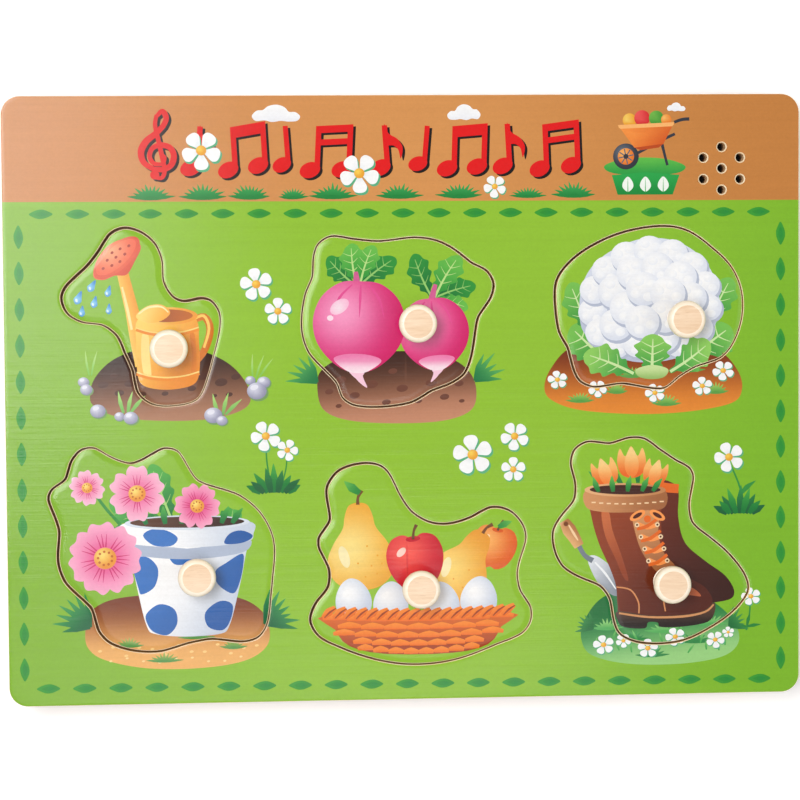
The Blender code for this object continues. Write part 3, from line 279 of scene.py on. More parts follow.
def paintField(halfWidth, halfHeight):
    look = fieldLook
    x, y = halfWidth + look["over"], halfHeight + look["over"]
    middleEdge = (look["leftEdge"] + look["rightEdge"]) / 2
    for side, edge, hue in ((-1, look["leftEdge"], "Left"), (1, look["rightEdge"], "Right")):
        far = side * x
        lay([(0, -y), (far, -y), (far, y), (0, y)],
            fade(look["green"], look["green" + hue], (side * 45, 0), (side * halfWidth, -20)))
        lay([(0, middleEdge), (far, edge), (far, y), (0, y)],
            fade(look["brown"], look["brown" + hue], (0, 90), (side * halfWidth, 90)))
    for cx, cy, width, height, flip in ((-48, 107, 18, 7, 1), (22.5, 107.2, 12.5, 6.4, -1),
            (103, 109, 7, 3.6, 1)):
        cloud(cx, cy, width, height, flip)
    for i, (cx, width) in enumerate(((-95, 15), (-75.5, 16), (-58, 14), (-42, 10), (-27, 16), (-2, 16),
            (20.7, 15), (46.5, 12.5), (64, 15))):
        tuft(cx, 75.3, width * 0.94, 5.6 if width > 13 else 4.2, ((58, 164, 84), (24, 134, 58)), 40 + i)


dashLook = {"length": 8.8, "width": 3.6, "shape": [(-0.5, 0), (-0.36, 0.24), (-0.14, 0.45), (0.1, 0.48),
    (0.32, 0.28), (0.5, 0.03), (0.36, -0.22), (0.12, -0.44), (-0.12, -0.47), (-0.34, -0.28)],
    "green": (56, 158, 50), "dark": (46, 148, 48), "core": (36, 144, 56), "across": 21, "down": 13,
    "corners": {"topLeft": (-135.7, 70.2), "topRight": (134.4, 69.5), "bottomLeft": (-135.4, -107.4),
    "bottomRight": (134.6, -108.6), "leftTop": (-144.1, 61.8), "leftBottom": (-144.1, -100.1),
    "rightTop": (142.9, 61.3), "rightBottom": (142.9, -100.8)}}


def paintDashes():
    look = dashLook
    c = look["corners"]
    rows = ((c["topLeft"], c["topRight"], look["across"], 0),
        (c["bottomLeft"], c["bottomRight"], look["across"], 180),
        (c["leftTop"], c["leftBottom"], look["down"], 90),
        (c["rightTop"], c["rightBottom"], look["down"], 90))
    outline = curvy([(px * look["length"], py * look["width"]) for px, py in look["shape"]], 3)
    core = curvy([(px * look["length"] * 0.55, py * look["width"] * 0.5) for px, py in look["shape"]], 2)
    for start, end, count, turn in rows:
        for i in range(count):
            t = i / (count - 1)
            x, y = (start[k] + (end[k] - start[k]) * t for k in (0, 1))
            lay(put(outline, x, y, 1, turn), fade(look["green"], look["dark"], (x - 3, y + 1),
                (x + 3, y - 1)))
            lay(put(core, x, y, 1, turn), fade(look["dark"], look["core"], (x - 2, y), (x + 2, y)))


noteLook = {"red": (230, 14, 16), "shadow": (8, 0, 0), "shift": (0.95, -0.8), "base": 86.5, "height": 17}


def noteShapes(kind):  # outlines of one musical sign, from its first head's centre; the stem is one unit tall
    head = oval(0, 0, 0.235, 0.17, 24, 26)
    stem = [(0.095, 0.02), (0.215, 0.08), (0.215, 0.92), (0.095, 0.92)]
    flag = curvy([(0.15, 0.95), (0.23, 0.74), (0.42, 0.6), (0.52, 0.4), (0.46, 0.16), (0.42, 0.36),
        (0.32, 0.46), (0.17, 0.52)], 5)
    if kind == "quarter":
        return [head, stem]
    if kind == "eighth":
        return [head, stem, flag]
    if kind == "pair":
        second = [(x + 0.66, y + 0.06) for x, y in head]
        post = [(0.755, 0.08), (0.875, 0.14), (0.875, 0.98), (0.755, 0.98)]
        beam = [(0.095, 0.68), (0.875, 0.77), (0.875, 1.02), (0.095, 0.93)]
        return [head, stem, second, post, beam]
    if kind == "double":
        second = [(x + 0.7, y + 0.05) for x, y in head]
        post = [(0.795, 0.08), (0.915, 0.12), (0.915, 0.98), (0.795, 0.98)]
        high = [(0.095, 0.81), (0.915, 0.89), (0.915, 1.05), (0.095, 0.97)]
        low = [(0.095, 0.54), (0.915, 0.62), (0.915, 0.75), (0.095, 0.67)]
        return [head, stem, second, post, high, low]
    loop = [(0.05, 0.16), (0.15, 0.07), (0.09, -0.07), (-0.1, -0.06), (-0.19, 0.1), (-0.12, 0.28),
        (0.06, 0.36)]
    side = [(0.02, 0.36), (0.25, 0.3), (0.35, 0.12), (0.29, -0.1), (0.1, -0.2), (-0.14, -0.18)]
    curl = [(-0.1, -0.19), (-0.32, -0.04), (-0.38, 0.2), (-0.26, 0.43), (-0.05, 0.6), (0.13, 0.78)]
    crest = [(0.11, 0.75), (0.19, 0.94), (0.11, 1.1), (-0.01, 1.00)]
    spine = [(-0.02, 1.02), (-0.06, 0.8), (0, 0.5), (0.09, 0.08), (0.14, -0.22), (0.08, -0.38),
        (-0.06, -0.38)]
    return [band(loop, (0.06, 0.1, 0.12), 5), band(side, (0.12, 0.14, 0.11), 5),
        band(curl, (0.11, 0.16, 0.12), 5), band(crest, (0.12, 0.13, 0.09), 5),
        band(spine, (0.09, 0.1, 0.11, 0.1, 0.08), 5), oval(-0.08, -0.32, 0.105, 0.1, 0, 18)]


noteRow = (("clef", -92, 3.4, 0.98, 0), ("eighth", -80, 0.6, 1, -4), ("pair", -66, -0.2, 1, 3),
    ("quarter", -46, 1.6, 0.92, 4), ("double", -35.5, -0.4, 1, -3), ("eighth", -9, 0.4, 1, 4),
    ("quarter", 5, 1.8, 0.92, -5), ("pair", 16, 0, 1, -2), ("eighth", 37, 0.8, 1, 3),
    ("double", 51, -0.3, 1, 2))


def paintNotes():
    look = noteLook
    for shift, colour in ((look["shift"], look["shadow"]), ((0, 0), look["red"])):
        for kind, x, rise, size, turn in noteRow:
            for shape in noteShapes(kind):
                lay(put(shape, x + shift[0], look["base"] + rise + shift[1], look["height"] * size, turn),
                    colour)


def paintBarrow():  # a wheelbarrow on a grassy hill over a plain plaque
    form([(75.5, 87), (82, 89.5), (91, 90.2), (100, 89.4), (106.5, 86.8), (103, 84.2), (91, 83.6),
        (79, 84.3)], fade((96, 190, 72), (40, 158, 66), (90, 90), (90, 84)))
    plaque = [(78.4, 83.6), (80.6, 76.2), (101.6, 76.2), (104.2, 83.6), (91, 84.6)]
    lay(plaque, fade((38, 168, 74), (16, 138, 56), (90, 84), (90, 76)))
    for x in (84.5, 91.2, 98):
        form([(x, 77.3), (x - 2, 79), (x - 1.7, 81.2), (x, 83), (x + 1.7, 81.2), (x + 2, 79)],
            (246, 252, 244), 4)
        strip([(x, 77.2), (x, 79.4), (x, 82.4)], (0.5, 0.32, 0.1), (120, 196, 132), 2)
    grey, dark = (96, 104, 118), (50, 54, 64)
    strip([(102.5, 99), (96, 96), (88.5, 92), (84, 90.4)], (1.1, 1.1, 1), dark)
    strip([(97.5, 95.5), (98.6, 91), (99.6, 87.2)], (1.2, 1, 1), dark, 3)
    lay(oval(83.8, 90.6, 4.9, 4.9, 0, 30), glow((110, 116, 128), (44, 48, 58), (82.6, 92), 6))
    lay(oval(83.8, 90.6, 3.1, 3.1, 0, 26), glow((255, 190, 110), (232, 118, 34), (82.8, 91.8), 4.2))
    for turn in range(0, 180, 45):
        lay(put([(-2.9, -0.22), (2.9, -0.22), (2.9, 0.22), (-2.9, 0.22)], 83.8, 90.6, 1, turn + 12), grey)
    lay(oval(83.8, 90.6, 0.95, 0.95, 0, 16), dark)
    tray = [(80.8, 102.4), (102.2, 103.4), (98.2, 95.4), (96.4, 93.9), (89.4, 92.9), (87, 93.9)]
    lay(tray, fade((250, 150, 66), (216, 92, 28), (88, 103), (98, 93)))
    lay([(80.8, 102.4), (102.2, 103.4), (101.6, 101.9), (81.6, 101)], (255, 186, 112))
    lay([(87, 93.9), (89.4, 92.9), (96.4, 93.9), (98.2, 95.4), (97.2, 95.2), (89.6, 94.2)], (190, 74, 24))
    strip([(102.2, 103.4), (105.2, 104.4), (108, 104.6)], (1.1, 1.2, 1.3), dark, 3)
    for x, y, r, near, far in ((85.2, 104.2, 2.6, (255, 226, 120), (240, 160, 40)),
            (90, 105, 3, (255, 120, 110), (214, 38, 44)), (95.4, 105, 2.8, (150, 210, 90), (66, 150, 50)),
            (99.2, 104.4, 2, (255, 200, 110), (240, 130, 40))):
        lay(oval(x, y, r, r, 0, 22), glow(near, far, (x - r * 0.3, y + r * 0.35), r * 1.3))
    lay([(81.2, 101.3), (102, 102.3), (102.2, 103.4), (80.8, 102.4)], (255, 186, 112))


def paintMounds():
    # dark earth with stones, under the first piece
    form([(-118.4, 3), (-116.6, 9), (-110.5, 15.3), (-101, 19.4), (-90, 20.6), (-78, 19.2), (-67.5, 14.6),
        (-61, 8), (-58.4, 1), (-62, -3.6), (-74, -6.8), (-92, -7.2), (-108, -5.6), (-117, -1.4)],
        fade((44, 16, 4), (180, 128, 98), (-88, 20), (-86, -8)), 6)
    speckle(((-113.5, 6.5, 2), (-109.5, 9.8, 1.5), (-107.5, 3.4, 1.8), (-103.5, 7, 2.2), (-99, 2.8, 1.6),
        (-95, 9.2, 2.2), (-87.5, 8, 1.8), (-80.5, 4.8, 1.6), (-76.5, 9.4, 2.3), (-69.5, 7, 2.4),
        (-64, 9, 1.8), (-66.5, 2.4, 1.3), (-90.5, 3, 1.3), (-84, 12, 1.6), (-72, 2, 1)), (84, 50, 38))
    for x, y, turn in ((-106, -4.2, -20), (-104.5, -4.4, 6), (-103.5, -4.2, 34), (-70.5, -5.4, -22),
            (-69, -5.2, 8), (-68, -5.2, 40)):
        lay(blade(x, y, 8.5, 1.5, turn, 0.12), fade((120, 190, 92), (176, 220, 120), (x, y), (x, y + 8)))
    for x, y, turn in ((-118.6, 10, -14), (-117.8, 10, 8), (-57.6, 8, -6), (-56.6, 8, 14), (-55.6, 8, 30)):
        lay(blade(x, y, 9.5, 0.8, turn, 0.1), fade((132, 198, 84), (190, 226, 130), (x, y), (x, y + 9)))
    for x, y, r in ((-120.8, 7.6, 2.1), (-119.8, 4.8, 2.3), (-115.6, -3.3, 2.9), (-107.6, -5.4, 1.9),
            (-103.4, -6, 2.7), (-53.6, 6.8, 2.5), (-58.6, 7.6, 1.9), (-56.2, 3.6, 3.7), (-72.6, -5.4, 3.4),
            (-69.4, -7.4, 2.1)):
        stone(x, y, r)

    # brown earth under the second
    form([(-33.5, 6), (-31.5, 11.5), (-24, 15.6), (-12, 17.6), (4, 17.8), (17, 15), (24.2, 9.6), (26.6, 2.4),
            (24.4, -4.6), (14, -8.4), (-4, -9.2), (-22, -7.8), (-31.5, -3.4)],
           fade((60, 30, 18), (204, 142, 110), (-4, 18), (-2, -9)), 6)
    speckle(((-29, 3, 1.6), (-24.5, 7.5, 2), (-19.5, 1.5, 2), (-13, 5.6, 2.4), (-7.5, -1.2, 1.7),
        (-1.5, 4, 2.2), (4.5, -0.8, 1.5), (9.5, 6, 2.2), (14.5, 0.6, 1.8), (20, 5.6, 1.8), (21, -1, 1.1),
        (-25.5, -2.4, 1.2), (-5, 10.5, 1.7), (13.5, 11, 1.5)), (112, 66, 50))
    sideGrass((-33.5, 26), 6.5, 11, 2, range(10, 95, 17), (-1, 2), (3, 8), (30, 120, 66), (92, 176, 92),
        (6, 8, 14), 0.16)

    # orange earth with daisies under the third
    form([(52.4, 4), (55, 11), (62, 18.4), (76, 22.6), (92, 23.4), (108, 21.6), (120, 16.6), (126.6, 9),
        (128, 2), (124, -3), (108, -6), (88, -6.8), (66, -5), (55, -1)],
        fade((104, 34, 8), (236, 142, 50), (92, 23), (92, -6)), 6)
    for x, y, w, s in ((86, 7, 8, 1), (108, 9, 9, 2), (66, -2.2, 8, 3), (99, -3.8, 8, 4), (80, 1, 6, 5),
            (118, 0.6, 7, 6)):
        tuft(x, y, w * 1.15, 4.2, ((156, 204, 96), (92, 160, 70)), 60 + s, 9)

    # tan earth with dark grass at both sides under the fourth
    form([(-121.4, -86), (-119.6, -79), (-112, -74.4), (-98, -72.6), (-80, -72.4), (-64, -74.2),
        (-55.4, -79.2), (-52.4, -86), (-53.6, -93), (-62, -98.2), (-78, -100.6), (-98, -100.4), (-114, -97),
        (-120.4, -92.4)], fade((122, 56, 28), (244, 182, 106), (-86, -73), (-86, -96)), 6)
    speckle([(-116 + 4.9 * i, -93.6 + 1.9 * math.sin(2.3 * i), 0.75) for i in range(13)], (255, 214, 142))
    speckle([(-112 + 6.1 * i, -97.4 + 1 * math.sin(1.7 * i), 0.6) for i in range(9)], (255, 220, 154))
    sideGrass((-119.5, -54), -84.5, 12.5, 2.4, range(2, 107, 15), (-2, 2), (5, 6), (18, 104, 60),
        (60, 156, 78), (-84, 9, -76), 0.12)
    for x, y, w, s in ((-105, -92.4, 9, 1), (-80, -89.6, 12, 2), (-92, -98.2, 11, 3), (-66, -93.6, 8, 4)):
        tuft(x, y, w, 3.8, ((166, 186, 92), (92, 154, 78)), 80 + s, 9)

    # grassy hill with daisies under the sixth
    form([(66, -92), (67.4, -85), (73, -77.4), (82, -73.6), (94, -72.4), (108, -74.4), (119, -80.4),
        (125.6, -88), (126.4, -95), (120, -100), (104, -102.4), (84, -102), (70, -98.4)],
        fade((24, 114, 54), (158, 214, 132), (94, -79), (97, -101.5)), 6)
    light, deep = ((150, 210, 122), (86, 176, 92)), ((70, 158, 86), (48, 136, 70))
    for x, y, width, paints in ((76, -89, 10, light), (98, -90.4, 12, light), (116, -88, 11, light),
            (86, -93.4, 9, deep), (110, -94.6, 12, deep), (93, -99.6, 11, deep)):
        tuft(x, y, width, 4.2, paints, 90 + x, 9)
    pick = random.Random(12)
    for i in range(22):
        x, y = 71 + 2.4 * i, -97 + pick.uniform(-2, 13) * math.sin(math.pi * (i + 2) / 25)
        lay(blade(x, y, pick.uniform(3, 5), 0.9, pick.uniform(-35, 35), 0.1),
            fade((74, 168, 82), (126, 200, 108), (x, y), (x, y + 4)))


def clump(x, y, width, height, seed, count=9):  # upright pointed leaves from one root
    pick = random.Random(seed)
    for i in sorted(range(count), key=lambda n: (n * 5) % count):
        share = 2 * i / (count - 1) - 1
        tall = height * (1 - 0.42 * abs(share)) * pick.uniform(0.78, 1.05)
        dark = (i + seed) % 2 * 26
        lay(blade(x + share * width * 0.3, y, tall, width * 0.17, 52 * share + pick.uniform(-5, 5),
            0.14 * share), fade((20, 96 + dark, 52), (52 + dark, 146 + dark, 70), (x, y), (x, y + height)))


def stem(points, width, paint=(52, 146, 62)):
    strip(points, (width, width * 0.8), paint)


def paintFlowers():
    stem([(-51, -33), (-52.6, -24), (-53, -16)], 0.7)
    stem([(-47.5, -33), (-45.6, -26), (-45, -20)], 0.6)
    clump(-50, -34.8, 17, 12, 7)
    stem([(127.5, -44), (127.4, -36), (123.4, -26)], 0.8)
    lay(blade(127.2, -38, 8, 2, 38, 0.2), (52, 146, 62))
    clump(127, -45.2, 16, 11, 10)
    stem([(129.6, -90), (130.8, -84), (131.2, -78)], 0.7)
    for x, y, length, turn in ((129.8, -88.6, 5.5, 76), (129.9, -88.2, 5, 8), (129.6, -88.6, 5.5, -80)):
        lay(blade(x, y, length, 1.4, turn, 0.1), (44, 134, 56))
    sideGrass((70.5, 123), -88.5, 7, 1.5, range(6, 108, 17), (-1, 1.4), (4, 6), (30, 112, 56),
        (66, 150, 74), (-88, 5, -84), 0.12)
    for x, y, radius, turn in ((-76, 93.6, 7.2, 36), (-17, 84.8, 7.3, 38), (34, 79.6, 4.2, 30),
            (-56, 43.6, 6, 10), (-48, 33.4, 5, 0), (-53, -13.4, 5.6, 25), (-45, -18.8, 4, 50),
            (25, -21.4, 7.4, 8), (41, -14.6, 5.3, 30), (40.4, -27.2, 4.6, 0), (123, -23.6, 5.6, 20)):
        daisy(x, y, radius, turn)
    for x, y, radius, turn in ((57.4, 6.6, 3.7, 10), (72.6, 3, 3.5, 40), (94.6, 1.2, 3.8, 20),
            (112.8, 3.6, 3.8, 5), (120.8, 9.4, 4.1, 30), (74.6, -94.6, 4, 12), (82.2, -93.2, 2.9, 40),
            (91.6, -96.2, 3.9, 0), (102.2, -92, 3.8, 22), (117.6, -93.4, 3.5, 44), (122.6, -90.6, 2.3, 5),
            (131.4, -77, 3.7, 15)):
        daisy(x, y, radius, turn, 0.9)


def paintWateringCan():
    yellow, deep, edge = (255, 206, 98), (240, 152, 42), (214, 116, 24)
    rose, roseDark = (250, 130, 92), (214, 74, 52)
    # grip behind, from the rim round to the lower side
    strip([(-80, 30), (-75.6, 31.6), (-73.4, 27), (-75.4, 19.5), (-79.5, 14)], (2.4, 2.8, 2.8, 2.4), edge)
    strip([(-80, 30.4), (-75.8, 32), (-73.8, 27.2), (-75.8, 20)], (0.9, 1.1, 0.9), yellow)
    # neck from low on the body up to the rose
    neck = [(-97.6, 14), (-100.2, 24), (-102.4, 34), (-105, 45), (-106.6, 52)]
    strip(neck, (8, 6.4, 5, 4.4, 4.2), fade(yellow, deep, (-106, 30), (-97.5, 32)), 6)
    strip([(-102.6, 27), (-104.2, 35), (-106, 43)], (0.9, 1.1, 0.7), (255, 232, 158))
    # body
    body = curvy([(-100.6, 30.4), (-101, 22), (-100.8, 12), (-99.2, 6.6), (-93, 4.6), (-85, 4.8), (-79, 7),
        (-77.4, 13), (-77.6, 22), (-78.4, 30.4), (-85, 33), (-94, 33)], 5)
    lay(body, fade((255, 214, 104), (236, 140, 34), (-101, 30), (-77, 12)))
    form([(-98.8, 25), (-99.2, 17), (-98.2, 10), (-95.6, 9), (-96, 17), (-96.4, 25)], (255, 228, 142), 4)
    form([(-81, 25), (-80.2, 17), (-80.8, 9), (-79, 10), (-78.6, 17), (-79.2, 25)], (232, 132, 34), 4)
    for y in (27.2, 10.6):
        hoop = [(-101, y), (-96, y - 1.5), (-89.5, y - 2.1), (-83, y - 1.5), (-77.6, y)]
        strip(hoop, (1.5, 1.7, 1.5), (240, 142, 38))
        strip([(px, py + 0.5) for px, py in hoop], (0.5, 0.6, 0.5), (255, 222, 130))
    # open top, half covered by its hood
    lay(oval(-89.5, 32, 11.5, 3.3, 0, 36), fade((255, 218, 116), (240, 156, 48), (-100, 33), (-79, 31)))
    lay(oval(-89.5, 32.1, 9.7, 2.4, 0, 34), fade((140, 66, 20), (196, 104, 34), (-99, 33), (-80, 31)))
    form([(-100.6, 32.4), (-96.6, 35.8), (-91.2, 36.2), (-88.2, 33.2), (-91.6, 30.2), (-96.8, 29.6)],
        fade((255, 222, 122), (246, 170, 60), (-100, 35), (-88, 30)))
    strip([(-100, 32.8), (-96.4, 35.2), (-91.6, 35.5), (-88.9, 33.4)], (0.5, 0.8, 0.4), (255, 238, 176))
    # rose, flaring to its face
    form([(-104.2, 47.6), (-101.2, 52.4), (-98.8, 58.2), (-103.6, 61), (-110, 59), (-115, 53.4),
        (-116.6, 47), (-113, 45.6), (-108.6, 47.2)], fade(rose, roseDark, (-112, 58), (-101, 47)))
    lay(oval(-107.9, 53.9, 10.8, 4.7, 41, 36), glow((255, 156, 112), (226, 86, 60), (-111, 57), 12))
    lay(oval(-108.1, 54.1, 9.4, 3.7, 41, 34), glow((255, 178, 134), (240, 108, 76), (-111, 57), 10))
    c, s = unit(41)
    for along, across in ((-6.4, 0), (-3.2, 1.3), (-3.2, -1.3), (0, 0), (0, 2.2), (0, -2.2), (3.2, 1.3),
            (3.2, -1.3), (6.4, 0)):
        lay(oval(-108.1 + along * c - across * s, 54.1 + along * s + across * c, 0.62, 0.5, 41, 10),
            (168, 52, 40))
    # falling drops
    drop = curvy(bothSides([(0, 2.4), (0.75, 0.7), (1.05, -0.55), (0, -1.5)]), 4)
    for x, y, size, turn in ((-117.4, 43, 1.3, 32), (-122.4, 38.6, 1.4, 24), (-116.4, 37, 1.2, 14),
            (-111.2, 41, 1.15, 16), (-121, 33.6, 1.1, 6), (-111, 34.4, 1.05, 4)):
        lay(put(drop, x, y, size, -turn), glow((150, 214, 246), (46, 128, 206), (x - 0.4, y + 0.2),
            2.3 * size))
        lay(oval(x - 0.42 * size, y - 0.35 * size, 0.34 * size, 0.5 * size, 20, 10), (232, 248, 255))


def radish(x, y, reach, tall, lean, root):  # a round root with its tail, crown at the top
    seat = (x, y, 1, lean)
    body = [(0, 1), (0.45, 0.95), (0.84, 0.62), (1, 0.12), (0.9, -0.38), (0.58, -0.78), (0.2, -1)]
    body += [(-px, py) for px, py in body[:0:-1]]
    tail = [(0, -0.86 * tall), (root * 0.25, -1.12 * tall), (root, -1.34 * tall)]
    press(band(tail, (0.62 * reach, 0.16 * reach, 0.02 * reach), 5), seat, (252, 206, 224))
    press(curvy([(px * reach, py * tall) for px, py in body], 6), seat,
        glow((252, 158, 200), (212, 30, 104), (x - 0.34 * reach, y + 0.3 * tall), 1.45 * reach))
    foot = [(0.52, -0.74), (0.24, -0.62), (-0.24, -0.62), (-0.52, -0.74), (-0.24, -0.98), (0, -1.03),
        (0.24, -0.98)]
    press(curvy([(px * reach, py * tall) for px, py in foot], 5), seat,
        fade((240, 128, 178), (255, 232, 240), (x, y - 0.66 * tall), (x, y - 0.98 * tall)))
    for side in (-0.52, 0, 0.48):
        arc = [(side * 0.35 * reach, 0.92 * tall), (side * 0.86 * reach, 0.62 * tall),
            (side * 1.12 * reach, 0.2 * tall)]
        press(band(arc, (0.5, 1, 0.1), 4), seat, (232, 82, 150))
    press(oval(-0.44 * reach, 0.42 * tall, 0.23 * reach, 0.14 * reach, 38, 20), seat,
        glow((255, 232, 242), (253, 190, 218), (x - 0.44 * reach, y + 0.42 * tall), 0.26 * reach))
    press(oval(-0.63 * reach, 0.16 * tall, 0.07 * reach, 0.06 * reach, 0, 12), seat, (255, 226, 238))


def toothedLeaf(x, y, length, width, turn, near, far, rib, bend=0.12):  # a lobed leaf with its rib
    seat = (x, y, 1, -turn)
    c, s = unit(turn)
    left = [(-0.06, 0), (-0.1, 0.16), (-0.28, 0.26), (-0.24, 0.36), (-0.46, 0.5), (-0.38, 0.6),
        (-0.5, 0.74), (-0.34, 0.84), (-0.22, 0.97), (0, 1.04)]
    right = [(-px, py) for px, py in left[:-1]][::-1]
    shape = [(px * width + bend * length * py * py, py * length) for px, py in left + right]
    press(curvy(shape, 4), seat, fade(near, far, (x, y), (x + length * s, y + length * c)))
    spine = [(bend * length * t * t, length * t) for t in (0, 0.3, 0.6, 0.92)]
    press(band(spine, (0.09 * width, 0.07 * width, 0.02 * width), 3), seat, rib)
    for t in (0.34, 0.54, 0.72):
        for side in (-1, 1):
            at = (bend * length * t * t, length * t)
            end = (at[0] + side * 0.3 * width, at[1] + 0.13 * length)
            press(band([at, ((at[0] + end[0]) / 2, at[1] + 0.055 * length), end],
                (0.035 * width, 0.01 * width), 2), seat, rib)


def paintRadishes():
    dark, leafy, bright, rib = (24, 112, 52), (48, 150, 58), (108, 192, 76), (190, 228, 140)
    for x, y, turn, length, width in ((11, 38, 66, 15.5, 8.5), (-19, 43, -52, 14, 9),
            (10, 38, -30, 17, 9.5), (-17, 43, 46, 16, 9.5)):
        toothedLeaf(x, y, length, width, turn, dark, leafy, (150, 206, 112))
    for x, y, turn, length, width in ((11, 38, 24, 17.5, 10.5), (-18.5, 43.5, -14, 14.5, 10),
            (10.5, 37.5, 98, 13, 7), (-17, 43.5, 12, 14.5, 9)):
        toothedLeaf(x, y, length, width, turn, leafy, bright, rib)
    strip([(9.8, 36), (10.4, 39.6), (11.4, 43)], (3, 2.2, 1.4), (214, 96, 150))
    strip([(-18.6, 42), (-18.4, 45), (-18.6, 48)], (3.4, 2.4, 1.4), (214, 96, 150))
    radish(10.8, 24.4, 13.2, 13.4, 5, -3)
    radish(-17.6, 27.4, 17.4, 17, -3, 4)


def curd(x, y, radius, tone=0):  # one soft lump of the head
    rim = ((222, 228, 242), (228, 233, 245), (208, 216, 234))[tone]
    lay(oval(x + 0.1 * radius, y - 0.16 * radius, radius * 1.04, radius * 0.98, 0, 22), (184, 192, 212))
    lay(oval(x, y, radius, radius * 0.95, 0, 24), glow((255, 255, 255), rim,
        (x - 0.22 * radius, y + 0.34 * radius), radius * 1.5))


def paintCauliflower():
    pale = (208, 236, 168)
    leaf = ((50, 142, 60), (122, 196, 84))
    for x, y, turn, length, width in ((77, 13, -50, 19, 16), (108, 14, 50, 19, 16), (70.5, 24, -26, 20, 12),
            (114.5, 26, 24, 20, 12)):
        toothedLeaf(x, y, length, width, turn, leaf[0], leaf[1], pale, 0.05)
    form([(66, 30), (66.6, 41), (71, 49.5), (79, 55.6), (90, 59.6), (102, 58.8), (111.5, 53.4), (117.4, 45),
        (119.4, 35), (117, 25), (110, 17.4), (99, 13.4), (86, 13.2), (74.6, 17.6), (68, 23.6)],
        fade((222, 228, 242), (190, 198, 220), (92, 56), (92, 16)))
    lumps = ((71, 32, 5.6, 0), (71.6, 40.4, 5.6, 1), (76.4, 47.6, 5.8, 0), (83.8, 52.8, 6, 1),
        (92.6, 55, 6, 0), (101.4, 53.6, 6, 1), (109, 49, 5.8, 0), (114, 41.8, 5.6, 1), (115, 33.4, 5.4, 0),
        (111.6, 25.6, 5.4, 1), (73.4, 24.4, 5.4, 1), (80, 19.4, 5.2, 0), (103.8, 19.6, 5.2, 0),
        (79.4, 39.6, 6.6, 0), (86.4, 46.6, 6.4, 1), (95.6, 48.4, 6.4, 0), (104.4, 45, 6.4, 1),
        (108.4, 37.2, 6.2, 0), (105.4, 28.6, 6.2, 1), (97.8, 22.4, 6.2, 0), (88.2, 20.4, 6, 1),
        (79.8, 27.2, 6.4, 0), (84, 33.4, 6.6, 1), (90.4, 40.6, 6.8, 0), (99.6, 38.8, 6.8, 1),
        (98.6, 30.2, 6.6, 0), (89.8, 28.2, 6.6, 1))
    for x, y, radius, tone in lumps:
        curd(x, y, radius, tone)
        for turn in range(30 + 40 * tone, 390, 90):
            c, s = unit(turn)
            lay(oval(x + 0.52 * radius * c, y + 0.5 * radius * s, radius * 0.3, radius * 0.26, 0, 14),
                glow((255, 255, 255), (238, 242, 250),
                (x + 0.46 * radius * c - 0.4, y + 0.5 * radius * s + 0.5), radius * 0.5))
    for x, y, turn, length, width in ((86.5, 8.6, -62, 19.5, 13), (100.5, 9.2, 60, 18, 13)):
        toothedLeaf(x, y, length, width, turn, (62, 156, 66), (148, 210, 98), pale, -0.1)
    toothedLeaf(93.4, 7.4, 15.5, 14.5, 2, (58, 152, 62), (140, 206, 94), pale, 0)
    form([(87.4, 10.2), (93.6, 11.8), (99.6, 10.2), (98.2, 7.2), (93.4, 6.4), (88.6, 7.3)],
        fade((206, 230, 160), (150, 190, 104), (93, 11), (93, 6)), 4)


def bloom(x, y, radius, petals, turn, near, far, vein, heart):  # a round-petalled garden flower
    petal = bothSides([(0, 0.1), (-0.24, 0.34), (-0.37, 0.7), (-0.24, 0.96), (0, 0.9)])
    shape = curvy(petal, 4)
    for i in range(petals):
        one = turn + 360 / petals * i
        lay(put(shape, x, y, radius, one), glow(far, near, (x, y), radius * 1.02))
        for side in (-12, 0, 12):
            lay(put(band([(0, 0.3), (0, 0.66)], (0.045, 0.01), 2), x, y, radius, one + side), vein)
    lay(oval(x, y, radius * 0.3, radius * 0.29, 0, 22),
        glow(heart[0], heart[1], (x - 0.08 * radius, y + 0.1 * radius), radius * 0.36))
    for i in range(9):
        angle = math.tau * i / 9 + 0.3
        lay(oval(x + radius * 0.19 * math.cos(angle), y + radius * 0.18 * math.sin(angle), radius * 0.035,
            None, 0, 8), heart[2])


